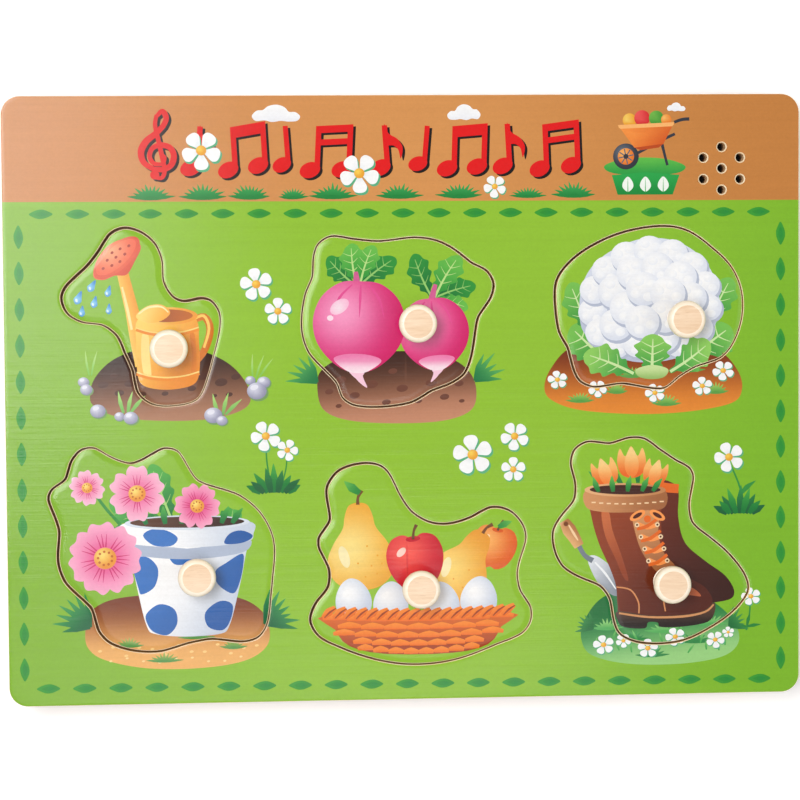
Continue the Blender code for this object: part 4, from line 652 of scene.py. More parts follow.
def paintFlowerPot():
    green, bright, rib = (22, 118, 56), (84, 178, 72), (172, 218, 124)
    for x, y, turn, length, width in ((-92, -48, -62, 22, 12), (-88, -46, -22, 23, 11),
            (-82, -47, 14, 11, 8), (-74, -47, 66, 12, 8), (-98, -49, -100, 19, 10)):
        toothedLeaf(x, y, length, width, turn, green, bright, rib, 0.04)
    for points in ([(-88, -49), (-97, -40), (-101, -34)], [(-83, -49), (-80.5, -44), (-79, -40)],
            [(-92, -49), (-104, -48), (-112, -50)], [(-106, -48), (-113, -40), (-118, -33)]):
        stem(points, 1.3, (50, 144, 58))
    pink, deep, vein = (252, 176, 206), (234, 84, 146), (214, 52, 116)
    heart = ((255, 226, 120), (238, 152, 52), (196, 96, 24))
    # white pot with blue patches
    body = curvy([(-104, -51), (-103.4, -61), (-101, -74), (-98.4, -84.4), (-95.4, -87.4), (-84, -88.6),
        (-71, -87.8), (-67.4, -84.6), (-64.4, -74), (-61.6, -61), (-61, -51), (-72, -49), (-94, -49)], 5)
    lay(body, fade((255, 255, 255), (200, 210, 228), (-92, -60), (-58, -76)))
    blues = ((58, 118, 196), (38, 92, 166))
    patches = ([(-103.4, -60), (-98.4, -58.2), (-94, -62.6), (-95.2, -69.4), (-100, -72.4), (-101.4, -70)],
        [(-98.6, -80), (-93.6, -76.2), (-88, -78.2), (-87, -83.6), (-90.4, -87.8), (-95.2, -87),
        (-97.8, -84.4)], [(-68.4, -61), (-62.4, -57.6), (-61.9, -61.4), (-63.4, -68.4), (-66, -72.6),
        (-71.6, -69), (-72.4, -64)], [(-76.4, -79.6), (-71, -75.4), (-66.2, -76.8), (-67, -82.6),
        (-70, -86.4), (-75.4, -85)], [(-90, -56.6), (-84.4, -55.6), (-80.4, -57.4), (-82.4, -60.8),
        (-87.8, -61.2)])
    for patch in patches:
        form(patch, fade(blues[0], blues[1], (-96, -60), (-64, -86)))
    form([(-104.2, -51), (-83, -55.4), (-61, -51.4), (-61.8, -57), (-82.6, -59.4), (-103.6, -57)],
        (178, 190, 212))
    # rim
    rim = curvy([(-107.4, -46), (-107.6, -50), (-106, -52.8), (-95, -54.4), (-82.5, -54.9), (-70, -54.4),
        (-59.6, -52.8), (-58, -50), (-58.2, -46), (-70, -44), (-95, -44)], 5)
    lay(rim, fade((255, 255, 255), (206, 216, 232), (-96, -48), (-58, -54)))
    form([(-99.4, -50.2), (-95.6, -47.8), (-90.2, -48.6), (-86.4, -51.4), (-89, -54.3), (-95.4, -54)],
        blues[0], 4)
    form([(-69, -53.6), (-67, -50), (-62.6, -48.8), (-58.4, -50.6), (-59.8, -52.6), (-64, -53.8)], blues[1],
        4)
    lay(oval(-82.8, -45.6, 23.4, 2.8, 0, 44), (222, 229, 240))
    lay(oval(-82.8, -45.4, 21.4, 2.1, 0, 40), fade((92, 54, 36), (58, 34, 24), (-100, -46), (-66, -46)))
    for x, turn in ((-98, -30), (-91, -12), (-85, 8), (-77, -8), (-70, 18), (-66, 30)):
        lay(blade(x, -46, 7, 2.6, turn, 0.1), fade(green, bright, (x, -46), (x, -39)))
    bloom(-113.6, -58.6, 14, 7, 8, pink, deep, vein, heart)
    bloom(-101.4, -34.4, 10.8, 6, 0, (253, 190, 214), (238, 104, 158), vein, heart)
    bloom(-79, -39.4, 8.8, 6, 24, (252, 172, 202), (226, 66, 132), vein, heart)
    bloom(-120, -32, 6.8, 6, 10, (253, 196, 218), (238, 110, 160), vein, heart)


def apple(x, y, radius, turn, near, far, glint=(255, 214, 200)):
    seat = (x, y, radius, turn)
    shape = bothSides([(0, 0.8), (0.36, 0.95), (0.78, 0.8), (1, 0.3), (0.92, -0.3), (0.62, -0.8),
        (0.24, -0.98), (0, -0.9)])
    press(curvy(shape, 5), seat, glow(near, far, (x - 0.32 * radius, y + 0.32 * radius),
        radius * 1.5))
    press(oval(0, 0.78, 0.26, 0.1, 0, 16), seat, far)
    press(band([(0, 0.76), (0.06, 1.05), (0.18, 1.26)], (0.11, 0.08, 0.13), 3), seat, (110, 62, 30))
    press(oval(-0.46, 0.36, 0.2, 0.12, 40, 16), seat, glint)


def pear(x, y, radius, turn, near, far):
    seat = (x, y, radius, turn)
    shape = bothSides([(0, 1.62), (0.28, 1.54), (0.42, 1.22), (0.5, 0.86), (0.8, 0.42), (1, -0.06),
        (0.92, -0.56), (0.54, -0.92), (0, -1.02)])
    press(curvy(shape, 5), seat, glow(near, far, (x - 0.34 * radius, y + 0.22 * radius),
        radius * 1.7))
    press(band([(0, 1.56), (0.02, 1.78), (0.14, 1.98)], (0.11, 0.08, 0.13), 3), seat, (120, 72, 34))
    press(oval(-0.5, 0.02, 0.15, 0.34, 14, 16), seat, (255, 240, 184))
    for i, (px, py) in enumerate(((0.3, -0.3), (0.5, 0), (0.1, -0.62), (0.45, -0.55), (0.2, 0.3),
            (-0.1, -0.2), (0.62, -0.25))):
        press(oval(px, py, 0.03, None, 0, 8), seat, far)


def egg(x, y, reach, turn=0):
    shape = bothSides([(0, 1.14), (0.5, 0.9), (0.86, 0.3), (0.9, -0.34), (0.58, -0.84), (0, -1)])
    lay(put(curvy(shape, 5), x, y, reach, turn), glow((255, 255, 255), (196, 206, 226),
        (x - 0.25 * reach, y + 0.35 * reach), reach * 1.5))
    lay(put(oval(-0.32, 0.42, 0.22, 0.13, 40, 14), x, y, reach, turn), (255, 255, 255))


def paintFruitBasket():
    wicker, light, dark = (238, 104, 16), (252, 146, 46), (150, 54, 14)
    apple(33, -56.6, 8.4, -12, (255, 180, 96), (226, 92, 24), (255, 226, 176))
    lay(blade(34.6, -49, 5.6, 2.6, 62, 0.1), fade((40, 140, 58), (110, 190, 80), (34, -49), (40, -45)))
    pear(-17.6, -59.4, 12.6, 3, (255, 228, 138), (242, 170, 52))
    lay(blade(-17.8, -35.4, 7.5, 3.4, -58, 0.1), fade((40, 140, 58), (110, 190, 80), (-18, -35), (-25, -31)))
    pear(19.6, -67, 11.6, -30, (255, 220, 122), (238, 158, 46))
    apple(3, -61.4, 10.8, 6, (250, 96, 84), (196, 16, 40))
    egg(-20.6, -76, 7.4, 8)
    egg(27, -76.2, 7.6, -6)
    egg(-6.4, -77.2, 7.2, -4)
    egg(12.8, -77.8, 7.4, 6)
    # woven wall, wider at its rim
    look = {"middle": 4, "top": -81, "rowHeight": 2.9, "rows": 5, "columns": 15, "half": 34}
    body = [(-29.6, -81), (37.6, -81), (35.4, -87), (30.4, -93.6), (17, -96.6), (-8, -96.6), (-22.2, -93.4),
        (-27.6, -87)]
    form(body, fade((220, 102, 28), (162, 60, 16), (4, -82), (4, -97)), 3)
    for row in range(look["rows"]):
        y = look["top"] - 1.6 - look["rowHeight"] * row
        half = look["half"] - 0.62 * row * row - 0.6 * row
        step = 2 * half / look["columns"]
        sag = -1 - 0.22 * row
        for i in range(row % 2, look["columns"], 2):
            x0 = look["middle"] - half + (i - 0.5) * step
            x1 = x0 + 2 * step
            xm = (x0 + x1) / 2
            lift = sag * (1 - ((xm - look["middle"]) / half) ** 2)
            strip([(x0, y + lift), (xm, y + lift + 0.55), (x1, y + lift)], (1.3, 2.6, 1.3),
                fade(light, wicker, (xm, y + lift + 1.3), (xm, y + lift - 1.3)), 3)
    # plaited rim
    for i in range(18):
        x = -30 + 4 * i
        y = -80.4 - 1.3 * (1 - ((x - 4) / 36) ** 2)
        strip([(x - 2.2, y - 1.9), (x, y + 0.2), (x + 2.6, y + 1.9)], (1.6, 3.2, 1.6),
            fade(light, wicker, (x - 1, y + 2), (x + 1, y - 2)), 3)
        strip([(x - 1.6, y - 1.9), (x + 0.5, y + 0.2), (x + 2.9, y + 1.7)], (0.3, 0.7, 0.3), dark, 2)


def paintBoot():
    brown, deep, shine = (150, 66, 34), (84, 32, 18), (206, 112, 66)
    tan, tanDark = (214, 150, 98), (166, 104, 62)
    orange, orangeDark = (255, 158, 84), (234, 108, 36)
    # the second boot, behind
    back = curvy([(94, -33), (103, -34.6), (103.4, -46), (106, -56), (113.6, -63), (121.6, -69),
        (125, -75.4), (121, -78.6), (104, -79), (96, -70), (92, -50)], 5)
    lay(back, fade((104, 42, 24), (58, 22, 14), (94, -40), (122, -78)))
    strip([(93.6, -33.4), (98, -34.8), (103.6, -35.4)], (3.4, 3.6, 3.4), orangeDark)
    # flowers standing in the front boot
    for x, y, turn in ((82, -34, -34), (88, -33, -4), (93, -34, 22), (76, -34, -56)):
        lay(blade(x, y, 9, 2.4, turn, 0.1), fade((30, 122, 56), (98, 184, 78), (x, y), (x, y + 9)))
    cup = bothSides([(0, -0.86), (0.62, -0.62), (0.84, 0.1), (0.66, 0.86), (0.36, 0.4), (0, 0.98)])
    for x, y, size, turn in ((75.4, -29, 6, 18), (85.6, -25.4, 6.6, 2), (94.6, -29.4, 5.6, -18)):
        lay(put(curvy(cup, 4), x, y, size, turn), fade((255, 196, 116), (238, 104, 34), (x, y + size * 0.7),
            (x, y - size * 0.8)))
        lay(put(curvy(bothSides([(0, -0.84), (0.34, -0.5), (0.38, 0.2), (0, 0.92)]),
            4), x, y, size, turn), fade((255, 214, 140), (248, 132, 56), (x, y + size * 0.7),
            (x, y - size * 0.8)))
    # a hand trowel leaning on the boot
    form([(68.6, -62), (72, -60.6), (78.6, -66), (82, -74), (79, -76), (73, -71.6)],
        fade((226, 230, 236), (140, 148, 160), (68, -62), (80, -76)))
    strip([(71.4, -63), (75.4, -67.4), (79.4, -73.4)], (0.6, 0.9, 0.4), (246, 248, 250))
    strip([(65, -56), (67.4, -60.2), (70.6, -62.4)], (1.9, 1.7, 2.2), (120, 128, 140), 5)
    strip([(59.6, -47), (61.6, -50.4), (63.6, -53.6), (65.4, -56.8)], (3.6, 5.4, 4.6, 3.8),
        fade((236, 182, 124), (176, 110, 62), (60, -54), (65, -49)), 5)
    strip([(61.4, -48.6), (63.4, -52), (65, -54.6)], (0.5, 1, 0.4), (250, 214, 166))
    lay(oval(60.4, -48.2, 0.9, None, 0, 14), (124, 66, 34))
    # front boot
    front = curvy([(69.4, -37), (70.2, -46), (73, -56), (77, -65), (79.4, -72), (80, -79), (81.4, -83.6),
        (92, -85.6), (105, -85.4), (113.4, -83.4), (116.6, -78.8), (113.8, -73.4), (107.4, -69.4),
        (101.6, -65.4), (97.8, -58.2), (96.8, -48), (96.4, -38.6), (90, -35.6), (77, -34.8)], 6)
    lay(front, fade(brown, deep, (72, -46), (110, -86)))
    form([(74, -44), (75.4, -53), (79.4, -62), (82.4, -69), (84.2, -69.6), (81.4, -60), (78.2, -51),
        (76.8, -44)], fade(shine, brown, (75, -43), (83, -70)))
    form([(97.4, -76.2), (103.6, -73), (108.8, -73.4), (112.2, -76.6), (108, -76.2), (103, -76.2)],
        (190, 98, 58))
    # toe cap, heel and seams
    strip([(100, -67.8), (97.6, -75), (98.4, -82.2)], (0.5, 0.6, 0.5), (224, 150, 96), 5)
    strip([(79.6, -72.6), (85, -73.8), (88, -78.4), (88.2, -82.8)], (0.5, 0.6, 0.5), (224, 150, 96), 5)
    # sole
    form([(80.2, -81.8), (92, -83.6), (105, -83.6), (113.4, -82), (117.2, -79), (117.4, -82.8),
        (114.6, -86.6), (105, -88.2), (96.6, -88.2), (95.4, -86.5), (91.8, -86.3), (90.4, -88.6),
        (82.6, -88), (80.2, -85.6)], fade((84, 58, 44), (34, 22, 18), (100, -82), (100, -88)), 4)
    strip([(80.6, -82.6), (92, -84.3), (105, -84.3), (113.6, -82.7), (117, -79.9)], (0.7, 0.9, 0.6), tan)
    # cuff
    form([(67.6, -36), (68.2, -42), (74, -43.8), (82, -44.2), (91, -43.8), (98.2, -42.4), (98.6, -36.4),
        (90, -34.2), (76, -33.8)], fade(tan, tanDark, (69, -37), (98, -43)))
    lay(oval(83.1, -35.6, 15.6, 2.6, -1, 40), fade((236, 182, 130), (198, 136, 86), (68, -35), (98, -36)))
    lay(oval(83.1, -35.5, 13.6, 1.8, -1, 36), (66, 30, 20))
    for x, turn in ((73, -26), (78.5, -10), (84, 6), (89.5, 20), (93.6, 32)):
        lay(blade(x, -36.2, 6.2, 2.3, turn, 0.1), fade((34, 128, 56), (104, 188, 80), (x, -36), (x, -30)))
    for i in range(10):
        x = 70.2 + 2.9 * i
        y = -40.9 + 0.035 * (i - 4.5) ** 2
        strip([(x, y), (x + 1.6, y)], (0.5, 0.5), (250, 216, 170), 1)
    # laces over the tongue
    tongue = curvy([(86.4, -44.6), (95.4, -44.4), (95.8, -53), (98, -60), (102.6, -65.8), (96.6, -68),
        (90.4, -61), (87.2, -53)], 5)
    lay(tongue, fade(tan, tanDark, (88, -45), (100, -67)))
    for i in range(4):
        x, y = 87.6 + 1.45 * i, -48.4 - 4.6 * i
        reach = 7.8 - 0.2 * i
        strip([(x, y), (x + reach * 0.5, y - 1.6), (x + reach, y - 0.6)], (1.4, 1.7, 1.4), orange)
        strip([(x, y - 2.2), (x + reach * 0.5, y - 1.1), (x + reach, y + 1.7)], (1.1, 1.4, 1.1), orangeDark)
        for end in (x, x + reach):
            lay(oval(end, y - 0.6, 0.9, None, 0, 14), (250, 222, 180))
            lay(oval(end, y - 0.6, 0.42, None, 0, 10), (90, 40, 22))
    for side in (-1, 1):
        lay(oval(91.6 + 3.8 * side, -45.4, 3.3, 1.6, -30 * side, 22), orange)
        lay(oval(91.6 + 3.8 * side, -45.4, 2, 0.75, -30 * side, 18), deep)
    lay(oval(91.6, -46.8, 1.4, None, 0, 14), orangeDark)


def paintAll():
    paintField(150, 114)
    paintDashes()
    paintNotes()
    paintBarrow()
    paintMounds()
    paintFlowers()
    paintWateringCan()
    paintRadishes()
    paintCauliflower()
    paintFlowerPot()
    paintFruitBasket()
    paintBoot()


paintAll()
print("print drawn:", len(art), "shapes")


# Outlines, read from the solids and made smooth
def loopsAt(node, z):  # closed outlines of a solid's flat faces at one height, in mm
    mesh = nodes[node].data
    spots = {}
    for vertex in mesh.vertices:
        spots[vertex.index] = tuple(round(value / mm, 3) for value in vertex.co)
    level = round(z / mm, 3)
    edges = {}
    for face in mesh.polygons:
        ring = [spots[i] for i in face.vertices]
        if all(abs(point[2] - level) < 0.01 for point in ring):
            for a, b in zip(ring, ring[1:] + ring[:1]):
                edges[(a[:2], b[:2])] = True
    following = {a: b for a, b in edges if (b, a) not in edges}
    loops = []
    while following:
        first, spot = following.popitem()
        loop = [first]
        while spot != first:
            loop.append(spot)
            spot = following.pop(spot)
        loops.append(loop)
    return loops


def areaOf(loop):
    return sum(a[0] * b[1] - b[0] * a[1] for a, b in zip(loop, loop[1:] + loop[:1])) / 2


def turnedLeft(loop):  # the same outline, run anticlockwise
    return loop if areaOf(loop) > 0 else loop[::-1]


def spanOf(loop):
    return np.min(loop, axis=0), np.max(loop, axis=0)


def middleOf(loop):
    low, high = spanOf(loop)
    return tuple((low + high) / 2), tuple(high - low)


def roundedBox(low, high, radius, steps=16):
    loop = []
    for corner in range(4):
        x = (high if corner in (0, 3) else low)[0] + (-radius if corner in (0, 3) else radius)
        y = (high if corner < 2 else low)[1] + (-radius if corner < 2 else radius)
        for step in range(steps + 1):
            angle = math.radians(90 * corner + 90 * step / steps)
            loop.append((x + radius * math.cos(angle), y + radius * math.sin(angle)))
    return loop


def outwardTurns(loop):  # unit directions that point out of an anticlockwise outline, one at each point
    points = np.array(loop)
    run = np.roll(points, -1, 0) - np.roll(points, 1, 0)
    run /= np.linalg.norm(run, axis=1)[:, None]
    return np.c_[run[:, 1], -run[:, 0]]


def shifted(loop, distance):  # an outline moved outwards, or inwards where distance is below zero
    return [tuple(point) for point in np.array(loop) + outwardTurns(loop) * distance]


# How the print ends at an outline, in mm: a soft pressed shoulder, a narrow bare bevel, then a wall
# whose finish is pale sawn plywood (2) or plywood that the saw has scorched (4)
outerEdge = {"bevel": 0.15, "bevelDrop": 0.12, "soft": 1.1, "softDrop": 0.09, "wall": 2}
cutEdge = {"bevel": 0.22, "bevelDrop": 0.17, "soft": 1.1, "softDrop": 0.09, "wall": 4}
# the speaker holes take the pale sawn wall: partly the drilled plywood's colour, partly painted highlight for
# the bright crescent that light leaves inside each hole
holeEdge = {"bevel": 0.42, "bevelDrop": 0.40, "soft": 0.4, "softDrop": 0.03, "wall": 2}
pieceEdge = {"bevel": 0.23, "bevelDrop": 0.2, "soft": 2.6, "softDrop": 0.36, "wall": 4}
shoulderShares = (0.12, 0.30, 0.60, 1.0)
holeSides = 30
gridPitch = {"board": 6.0, "motif": 2.3}


def regionsOfPrint():
    top = boardHigh.z / mm
    loops = loopsAt("picture_board", boardHigh.z)
    loops.sort(key=lambda loop: -abs(areaOf(loop)))
    low, high = spanOf(loops[0])
    radius = high[0] - max(x for x, y in loops[0] if y > high[1] - 0.01)
    rim = roundedBox(low, high, radius)
    holes, edges = [], [outerEdge]
    for loop in loops[1:]:
        middle, size = middleOf(loop)
        drilled = size[0] < 10
        edges.append(holeEdge if drilled else cutEdge)
        holes.append(oval(*middle, size[0] / 2, None, 0, holeSides) if drilled
            else turnedLeft(curvy(loop, 3)))
    base = boardLow.z / mm - 0.28  # the wall closes the glue line under the board
    regions = [{"node": "picture_board", "rim": rim, "holes": holes, "edges": edges, "top": top,
        "base": base}]
    for name in names:
        node = "piece_" + name
        lowest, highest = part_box(node)
        rim = turnedLeft(curvy(loopsAt(node, lowest.z)[0], 3))
        regions.append({"node": node, "rim": rim, "holes": [], "edges": [pieceEdge],
                        "top": highest.z / mm, "base": lowest.z / mm})
    return regions


def gridPoints(regions):  # loose points that let the blends of colour run smoothly
    points = []
    boxes = [spanOf(region["rim"]) for region in regions]

    def spread(low, high, pitch, keep):
        rows = int((high[1] - low[1]) / (pitch * 0.866))
        for row in range(1, rows):
            columns = int((high[0] - low[0]) / pitch)
            for column in range(1, columns):
                spot = (low[0] + (column + 0.5 * (row % 2)) * pitch, low[1] + row * pitch * 0.866)
                if keep(spot):
                    points.append(spot)

    def onBoard(spot):
        return not any(low[0] < spot[0] < high[0] and low[1] < spot[1] < high[1] for low, high in boxes[1:])

    spread(*boxes[0], gridPitch["board"], onBoard)
    for low, high in boxes[1:]:
        spread(low - 1, high + 1, gridPitch["motif"], lambda spot: True)
    return points


def cutPrint(regions):  # one net of triangles over the whole print, cut along every line of it
    points, edges, faces, kinds = [], [], [], []

    def addLoop(loop, kind=None):
        first = len(points)
        points.extend(loop)
        ring = list(range(first, first + len(loop)))
        if kind is None:
            edges.extend(zip(ring, ring[1:] + ring[:1]))
        else:
            faces.append(ring)
            kinds.append(kind)

    for number, region in enumerate(regions):
        for k, (loop, edge) in enumerate(zip([region["rim"]] + region["holes"], region["edges"])):
            side = 1 if k else -1
            addLoop(loop, ("out" if k else "in", number))
            addLoop(shifted(loop, side * edge["bevel"]), ("bare" if k else "flat", number))
            for share in shoulderShares:
                addLoop(shifted(loop, side * (edge["bevel"] + edge["soft"] * share)))
    marks = len(faces)
    for shape in art:
        addLoop(turnedLeft(shape["points"]), "art")
    points.extend(gridPoints(regions))
    flatPoints = [Vector(point) for point in points]
    found = delaunay_2d_cdt(flatPoints, edges, faces, 0, 0.0004, True)
    return np.array([tuple(v) for v in found[0]]), found[2], found[5], kinds, marks


def sortTriangles(triangles, origins, kinds, marks):
    # which solid each triangle lies on, whether it is on the bare bevel, and the print's topmost shape there
    owner = np.full(len(triangles), -1)
    bevel = np.zeros(len(triangles), bool)
    shape = np.zeros(len(triangles), int)
    for i, ids in enumerate(origins):
        inside, flat, out, bare, top = set(), set(), False, False, -1
        for number in ids:
            if number >= marks:
                top = max(top, number - marks)
                continue
            kind, region = kinds[number]
            if kind == "in":
                inside.add(region)
            elif kind == "flat":
                flat.add(region)
            elif kind == "out":
                out = True
            else:
                bare = True
        pieces = inside - {0}
        if pieces:
            owner[i] = min(pieces)
            bevel[i] = owner[i] not in flat
        elif 0 in inside and not out:
            owner[i] = 0
            bevel[i] = 0 not in flat or bare
        shape[i] = top
    return owner, bevel, shape


def nearestEdge(points, region):
    # distance to the solid's nearest outline, the direction away from it into the solid, and its number
    starts, ends, startTurns, endTurns, numbers = [], [], [], [], []
    for number, loop in enumerate([region["rim"]] + region["holes"]):
        sign = 1 if number else -1
        turns = outwardTurns(loop) * sign
        line = np.array(loop)
        starts.append(line)
        ends.append(np.roll(line, -1, 0))
        startTurns.append(turns)
        endTurns.append(np.roll(turns, -1, 0))
        numbers.extend([number] * len(loop))
    starts, ends, startTurns, endTurns = map(np.concatenate, (starts, ends, startTurns, endTurns))
    runs = ends - starts
    lengths = (runs ** 2).sum(1)
    distance, inward, nearest = np.empty(len(points)), np.empty((len(points), 2)), np.empty(len(points), int)
    for first in range(0, len(points), 2000):
        some = points[first:first + 2000]
        along = np.clip(((some[:, None] - starts) * runs).sum(2) / lengths, 0, 1)
        gaps = ((some[:, None] - starts - along[..., None] * runs) ** 2).sum(2)
        best = gaps.argmin(1)
        row = np.arange(len(some))
        t = along[row, best][:, None]
        turn = startTurns[best] * (1 - t) + endTurns[best] * t
        distance[first:first + 2000] = np.sqrt(gaps[row, best])
        nearest[first:first + 2000] = np.array(numbers)[best]
        inward[first:first + 2000] = turn / np.linalg.norm(turn, axis=1)[:, None]
    return distance, inward, nearest


def shoulder(distance, edges, nearest):
    # drop below the top face at a distance from the outline, with the slopes of shoulder and bevel there
    bevel, bevelDrop, soft, softDrop = (np.array([edge[key] for edge in edges])[nearest] for key
        in ("bevel", "bevelDrop", "soft", "softDrop"))
    u = np.clip((distance - bevel) / soft, 0, 1)
    below = np.clip(1 - distance / bevel, 0, 1)
    return softDrop * (1 - u) ** 2 + below * bevelDrop, 2 * softDrop * (1 - u) / soft, bevelDrop / bevel


def linear(colours):
    share = np.asarray(colours, float) / 255
    return np.where(share <= 0.04045, share / 12.92, ((share + 0.055) / 1.055) ** 2.4)


def paintOf(places, shapes):  # the print's colour at each place, from the shape that lies on top there
    paints = [shape["paint"] for shape in art]
    near, far, start, end = (np.array([paint[key] for paint in paints], float)[shapes]
                             for key in ("near", "far", "start", "end"))
    isRound = np.array([paint["round"] for paint in paints])[shapes]
    run = end - start
    length = np.maximum(np.linalg.norm(run, axis=1), 1e-6)
    away = places - start
    straight = (away * run).sum(1) / length ** 2
    t = np.clip(np.where(isRound, np.linalg.norm(away, axis=1) / length, straight), 0, 1)
    t = (t * t * (3 - 2 * t))[:, None]
    return linear(near * (1 - t) + far * t)


def boundaryOf(triangles):  # directed edges that only one triangle has
    pairs = np.concatenate([triangles[:, [0, 1]], triangles[:, [1, 2]], triangles[:, [2, 0]]])
    key = {tuple(pair) for pair in pairs.tolist()}
    return [pair for pair in key if pair[::-1] not in key]


def closedRings(pairs):
    following = {}
    for a, b in pairs:
        following.setdefault(a, []).append(b)
    rings = []
    while following:
        first = next(iter(following))
        ring, spot = [first], following[first].pop()
        while spot != first:
            ring.append(spot)
            spot = following[ring[-1]].pop()
        rings.append(ring)
        for one in ring:
            if one in following and not following[one]:
                del following[one]
    return rings


def fillFlat(places, rings):  # triangles over an outline with holes, for the underside
    points, faces = [], []
    back = []
    order = sorted(rings, key=lambda ring: -abs(areaOf([tuple(places[i]) for i in ring])))
    for ring in order:
        first = len(points)
        points.extend(Vector(places[i]) for i in ring)
        back.extend(ring)
        indexes = list(range(first, first + len(ring)))
        faces.append(indexes if areaOf([tuple(places[i]) for i in ring]) > 0 else indexes[::-1])
    found = delaunay_2d_cdt(points, [], faces, 0, 1e-7, True)
    kept = []
    for face, ids in zip(found[2], found[5]):
        if list(ids) == [0]:
            kept.append([back[found[3][i][0]] for i in face])
    return kept


def makeSolid(name, region, places, triangles, bevel, shapes, looks):
    used, corners = np.unique(triangles, return_inverse=True)
    corners = corners.reshape(-1, 3)
    flat = places[used]
    distance, inward, nearest = nearestEdge(flat, region)
    drop, soft, bare = shoulder(distance, region["edges"], nearest)
    count = len(flat)
    vertices = np.c_[flat, region["top"] - drop]
    border = boundaryOf(corners)
    onBorder = sorted({i for pair in border for i in pair})
    lower = {i: count + k for k, i in enumerate(onBorder)}
    under = np.c_[flat[onBorder], np.full(len(onBorder), region["base"])]
    vertices = np.concatenate([vertices, under]) * mm
    faces = corners.tolist()
    normals = []
    slopes = np.where(bevel[:, None], bare[corners], soft[corners])
    turn = inward[corners]
    upright = np.concatenate([-turn * slopes[..., None], np.ones(slopes.shape + (1,))], axis=2)
    upright /= np.linalg.norm(upright, axis=2)[..., None]
    normals.extend(upright.reshape(-1, 3).tolist())
    material = [1 if isBare else 0 for isBare in bevel]
    for a, b in border:
        faces.append([a, lower[a], lower[b], b])
        outA, outB = ([*(-inward[i]), 0.0] for i in (a, b))
        normals.extend([outA, outA, outB, outB])
        material.append(region["edges"][nearest[a]]["wall"])
    for face in fillFlat(flat, closedRings(border)):
        faces.append([lower[i] for i in face[::-1]])
        normals.extend([[0.0, 0.0, -1.0]] * 3)
        material.append(3)
    mesh = bpy.data.meshes.new(name)
    mesh.from_pydata(vertices.tolist(), [], faces)
    mesh.polygons.foreach_set("material_index", material)
    mesh.polygons.foreach_set("use_smooth", [True] * len(faces))
    colours = np.ones((len(mesh.loops), 4), np.float32)
    colours[:len(corners) * 3, :3] = paintOf(flat[corners.ravel()], np.repeat(shapes, 3))
    layer = mesh.color_attributes.new("printColour", "FLOAT_COLOR", "CORNER")
    layer.data.foreach_set("color", colours.ravel())
    mesh.update()
    mesh.normals_split_custom_set(normals)
    for look in looks:
        mesh.materials.append(look)
    made = bpy.data.objects.new(name, mesh)
    bpy.context.scene.collection.objects.link(made)
    return made


def makePrint(looks):
    regions = regionsOfPrint()
    places, triangles, origins, kinds, marks = cutPrint(regions)
    owner, bevel, shape = sortTriangles(triangles, origins, kinds, marks)
    triangles = np.array(triangles)
    solids = []
    for number, region in enumerate(regions):
        mine = owner == number
        name = region["node"].replace("piece_", "") + "_print"
        made = makeSolid(name, region, places, triangles[mine], bevel[mine], shape[mine], looks)
        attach(made, "board" if number == 0 else names[number - 1])
        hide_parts(region["node"])
        solids.append(made)
    print("print cut:", len(places), "points,", len(triangles), "triangles")
    return solids


# Shader building blocks
def addNode(tree, kind, inputs=(), **settings):
    made = tree.nodes.new("ShaderNode" + kind)
    for key, value in settings.items():
        setattr(made, key, value)
    feed(tree, made, dict(inputs))
    return made


def feed(tree, made, inputs):  # each value is a plain one or the output of another node
    for socket, value in inputs.items():
        if isinstance(value, bpy.types.NodeSocket):
            tree.links.new(value, made.inputs[socket])
        else:
            made.inputs[socket].default_value = value


def maths(tree, operation, *values):
    return addNode(tree, "Math", enumerate(values), operation=operation).outputs[0]


def noise(tree, place, scale, detail=2.0, roughness=0.5):
    inputs = {"Vector": place, "Scale": scale, "Detail": detail, "Roughness": roughness}
    return addNode(tree, "TexNoise", inputs).outputs[0]


def ranged(tree, value, low, high, **settings):  # 0 to 1 from one value to another
    inputs = {"Value": value, "From Min": low, "From Max": high}
    return addNode(tree, "MapRange", inputs, **settings).outputs[0]


def spreadRange(tree, value, low, high):
    return addNode(tree, "MapRange", {"Value": value, "To Min": low, "To Max": high}).outputs[0]


def newGroup(name, setting, outputs):  # a group of nodes that is given a place and one or two settings
    tree = bpy.data.node_groups.new(name, "ShaderNodeTree")
    for label, kind, value in (("Vector", "Vector", None), *setting):
        socket = tree.interface.new_socket(label, in_out="INPUT", socket_type="NodeSocket" + kind)
        if value is not None:
            socket.default_value = value
    for label in outputs:
        tree.interface.new_socket(label, in_out="OUTPUT", socket_type="NodeSocketFloat")
    return tree, tree.nodes.new("NodeGroupInput").outputs, tree.nodes.new("NodeGroupOutput")


def buildFibre():  # long wood fibres and short pores, run along one axis by unlike scales on the three
    tree, given, out = newGroup("woodFibre", (("Run", "Vector", (40, 900, 900)),
        ("Contrast", "Float", 1.0)), ("Fibre", "Pores", "Cloud"))
    placed = addNode(tree, "VectorMath", {0: given["Vector"], 1: given["Run"]},
        operation="MULTIPLY").outputs[0]
    both = maths(tree, "ADD", noise(tree, placed, 1.0, 3.0, 0.65), noise(tree, placed, 0.23))
    centred = maths(tree, "SUBTRACT", ranged(tree, both, 0.72, 1.28), 0.5)
    feed(tree, out, {
        "Fibre": maths(tree, "MULTIPLY_ADD", centred, given["Contrast"], 0.5),
        "Pores": ranged(tree, noise(tree, placed, 2.3, 1.0), 0.66, 0.74),
        "Cloud": noise(tree, given["Vector"], 38.0),
    })
    return tree


